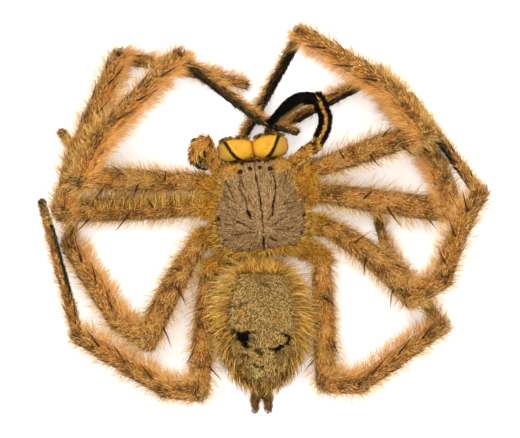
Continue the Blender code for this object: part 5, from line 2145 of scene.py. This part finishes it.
# Name of each eye of one side, its place beside and ahead, and its radius
EYES = (
    ("front_middle", 0.5, 6.1, 0.2), ("front_side", 1.35, 6.02, 0.25),
    ("rear_middle", 0.55, 5.42, 0.23), ("rear_side", 1.62, 5.2, 0.27),
)


@dataclass
class Eye:
    """One eye: a glossy black bead set in the carapace's front."""

    side: Side
    name: str
    beside: float
    ahead: float
    radius: float
    shield: Carapace

    def mesh(self) -> bpy.types.Mesh:
        """The bead, sunk a little into the carapace.

        Returns:
            The bead's mesh.
        """
        beside = np.array([self.side.sign * self.beside])
        ahead = np.array([self.ahead])
        outward = self.shield.outward(beside, ahead)[0]
        proud = 0.1 if "rear" in self.name else 0.0
        seat = BODY.place(beside, ahead, self.shield.height(beside, ahead))[0] + outward * proud
        work = bmesh.new()
        bmesh.ops.create_uvsphere(work, u_segments=32, v_segments=20, radius=self.radius * MM)
        for vertex in work.verts:
            vertex.co = vertex.co + type(vertex.co)(seat * MM)
        mesh = bpy.data.meshes.new(f"eye_{self.side.label}_{self.name}")
        work.to_mesh(mesh)
        work.free()
        mesh.shade_smooth()
        return mesh


# The stage

@dataclass
class Studio:
    """Pale floor, soft lights and the camera straight above, as the photograph was taken."""

    pixels: tuple[int, int] = (520, 438)
    millimetres_per_pixel: float = 0.11
    centre: tuple[float, float] = (0.044, 0.154)
    camera_height: float = 800.0
    focus_height: float = 3.0
    sensor: float = 36.0
    floor_glow: float = 0.4
    room_light: float = 1.05
    half_floor: float = 1500.0

    def camera(self) -> None:
        """Sets the camera over the spider, with its head up in the picture."""
        data = bpy.data.cameras.new("camera")
        across = self.pixels[0] * self.millimetres_per_pixel
        data.sensor_width = self.sensor
        data.lens = self.sensor * (self.camera_height - self.focus_height) / across
        data.clip_start = 0.01
        data.clip_end = 10.0
        camera = bpy.data.objects.new("camera", data)
        camera.location = (self.centre[0] * MM, self.centre[1] * MM, self.camera_height * MM)
        camera.rotation_euler = (0.0, 0.0, math.pi)
        bpy.context.scene.collection.objects.link(camera)
        bpy.context.scene.camera = camera

    def floor(self) -> None:
        """Lays the floor, a matt white card lit a little from below as a light table is."""
        half = self.half_floor * MM
        mesh = bpy.data.meshes.new("floor")
        corners = [(-half, -half, 0), (half, -half, 0), (half, half, 0), (-half, half, 0)]
        mesh.from_pydata(corners, [], [(0, 1, 2, 3)])
        card, shader = bare_material("white_card", {
            "Roughness": 0.9, "Emission Color": linear("#ffffff"), "Emission Strength": self.floor_glow})
        tree = card.node_tree
        place = add_node(tree, "ShaderNodeTexCoord").outputs["Object"]
        # The card's fibres are coarser than real ones, so that they show
        fibre = add_node(tree, "ShaderNodeTexNoise", {
            "Vector": place, "Scale": 1 / (6.0 * MM)}).outputs["Fac"]
        tone = add_node(tree, "ShaderNodeMix", {
            "Factor": fibre, 6: linear("#f4f3f1"), 7: linear("#f7f6f4")}, data_type="RGBA").outputs[2]
        tree.links.new(tone, shader.inputs["Base Color"])
        mesh.materials.append(card)
        floor = bpy.data.objects.new("floor", mesh)
        floor.location = (0, 0, -0.01 * MM)
        bpy.context.scene.collection.objects.link(floor)

    def lights(self) -> None:
        """Hangs two wide soft boxes and fills the room with even white light."""
        for name, place, size, power in (
            ("soft_box_head", (0.12, -0.35, 0.6), 0.5, 3.4), ("soft_box_rear", (-0.3, 0.3, 0.55), 0.5, 1.2),
        ):
            data = bpy.data.lights.new(name, "AREA")
            data.size = size
            data.energy = power
            lamp = bpy.data.objects.new(name, data)
            lamp.location = place
            aim = -np.array(place)
            lamp.rotation_euler = (math.atan2(math.hypot(aim[0], aim[1]), -aim[2]), 0.0,
                                   math.atan2(aim[1], aim[0]) - math.pi / 2)
            bpy.context.scene.collection.objects.link(lamp)
        world = bpy.data.worlds.new("room")
        world.use_nodes = True
        back = world.node_tree.nodes["Background"]
        back.inputs["Color"].default_value = (1.0, 1.0, 1.0, 1.0)
        back.inputs["Strength"].default_value = self.room_light
        bpy.context.scene.world = world
        bpy.context.scene.view_settings.view_transform = "Standard"


def main() -> None:
    """Builds the studio, then the spider from its skin to its longest hairs."""
    logging.basicConfig(level=logging.INFO, format="%(message)s")
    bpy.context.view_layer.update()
    studio = Studio()
    studio.camera()
    studio.floor()
    studio.lights()

    legs = [Leg(side, number) for side in Side for number in PAIRS]
    palps = [Palp(side) for side in Side]
    trunk, hind, spinnerets, shield = Trunk(), Abdomen(), Spinnerets(), Carapace()
    brown = HairFinish("brown_bristle", BROWN_HAIR).build()
    gold = HairFinish("golden_bristle", GOLDEN_HAIR, 0.55, 0.08).build()
    # Golden hip hair with a painted glow: an emission that lifts the shade inside the tangle
    tangle = HairFinish("golden_hip_bristle", GOLDEN_HAIR, 0.55, 0.08, "#ffc040", 0.04, 0.06).build()
    banded = HairFinish("banded_palp_bristle", PALP_HAIR, 0.6, 0.0).build()
    velvet = HairFinish("grey_brown_velvet", SHIELD_PILE, 0.65, 0.15).build()
    speckle = HairFinish("speckled_olive_pile", BELLY_PILE, 0.65, 0.15).build()
    straw = HairFinish("golden_flank_bristle", GOLDEN_HAIR, 0.5, 0.18).build()
    black = HairFinish("black_brush_bristle", BLACK_BRUSH, 0.45, 0.0).build()
    grey = HairFinish("grey_scopula_bristle", GREY_SCOPULA, 0.6, 0.1).build()
    # Orange leg hair with a painted glow: its emission stands in for light shining through the hairs
    peach = HairFinish("orange_glow_bristle", GLOW_HAIR, 0.55, 0.32, "#ffdc9c", 0.05, 0.06).build()
    bristle = HairFinish("black_jaw_bristle", JAW_BRISTLE, 0.5, 0.0).build()
    horn = SPINE_CHITIN.build()

    hide = Skin(legs, palps, trunk, hind, spinnerets)
    cuticle = CuticleFinish("brown_soft_cuticle", SKIN_TONES).build()
    skin = place_piece("skin", hide.mesh(), cuticle)
    flesh = ("leg_", "palp_", "sternum", "abdomen", "spinneret")
    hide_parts(*[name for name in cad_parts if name.startswith(flesh)])
    LOG.info("skin: %d faces", len(skin.data.polygons))

    growth = []
    for index, leg in enumerate(legs):
        growth += [(f"coat_leg_{leg.label}", index, leg.coat, brown, Slot.LEGS),
                   (f"fringe_leg_{leg.label}", 80 + index, leg.fringe, peach, Slot.LEGS),
                   (f"scopula_leg_{leg.label}", 20 + index, leg.brush, grey, Slot.SCOPULA)]
        if leg.key in COMBED:
            growth.append((f"comb_leg_{leg.label}", 90 + index, leg.comb, straw, Slot.LEGS))
        place_piece(f"spines_leg_{leg.label}", leg.spines(), horn)
    for index, palp in enumerate(palps):
        growth += [(f"coat_palp_{palp.side.label}", 40 + index, palp.coat, banded, Slot.GOLD),
                   (f"brush_palp_{palp.side.label}", 50 + index, palp.brush, black, Slot.PALP)]
    growth += [
        ("coat_hips", 60, hide.hips_coat, tangle, Slot.GOLD),
        ("coat_brow", 66, trunk.brow, gold, Slot.GOLD),
        ("bristles_brow", 67, trunk.brow_line, bristle, Slot.CHELICERA),
        ("ruff_carapace", 61, shield.ruff, gold, Slot.GOLD),
        ("velvet_carapace", 62, shield.velvet, velvet, Slot.CARAPACE),
        ("pile_abdomen", 63, hind.pile, speckle, Slot.ABDOMEN),
        ("coat_abdomen", 64, hind.flanks, straw, Slot.GOLD),
        ("coat_spinnerets", 65, spinnerets.coat, bristle, Slot.SPINNERET),
    ]

    plating = CuticleFinish("grey_brown_plate", SHIELD_PILE, 0.12, 1.2, 0.04).build()
    plate = place_piece("carapace_plate", shield.shell(), plating)
    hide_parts("carapace")
    amber, lens = JAW_CHITIN.build(), EYE_LENS.build()
    for index, side in enumerate(Side):
        jaw = Jaw(side)
        lobe = place_piece(f"jaw_{side.label}", jaw.lobe(), amber)
        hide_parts(f"chelicera_{side.label}")
        place_piece(f"fang_{side.label}", jaw.fang(), horn)
        growth.append((f"bristles_jaw_{side.label}", 70 + index, jaw.rim, bristle, Slot.CHELICERA))
        for name, beside, ahead, radius in EYES:
            eye = Eye(side, name, beside, ahead, radius, shield)
            bead = place_piece(f"bead_{side.label}_{name}", eye.mesh(), lens)
            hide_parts(f"eye_{side.label}_{name}")
    total = 0
    for name, draw, grow, finish, slot in growth:
        coat = Coat(SEED + draw)
        grow(coat)
        piece = place_piece(name, coat.mesh(name), finish)
        total += len(piece.data.polygons)
        LOG.info("%s: %d faces", name, len(piece.data.polygons))
    LOG.info("coat: %d faces in all", total)


if __name__ == "__main__":
    main()
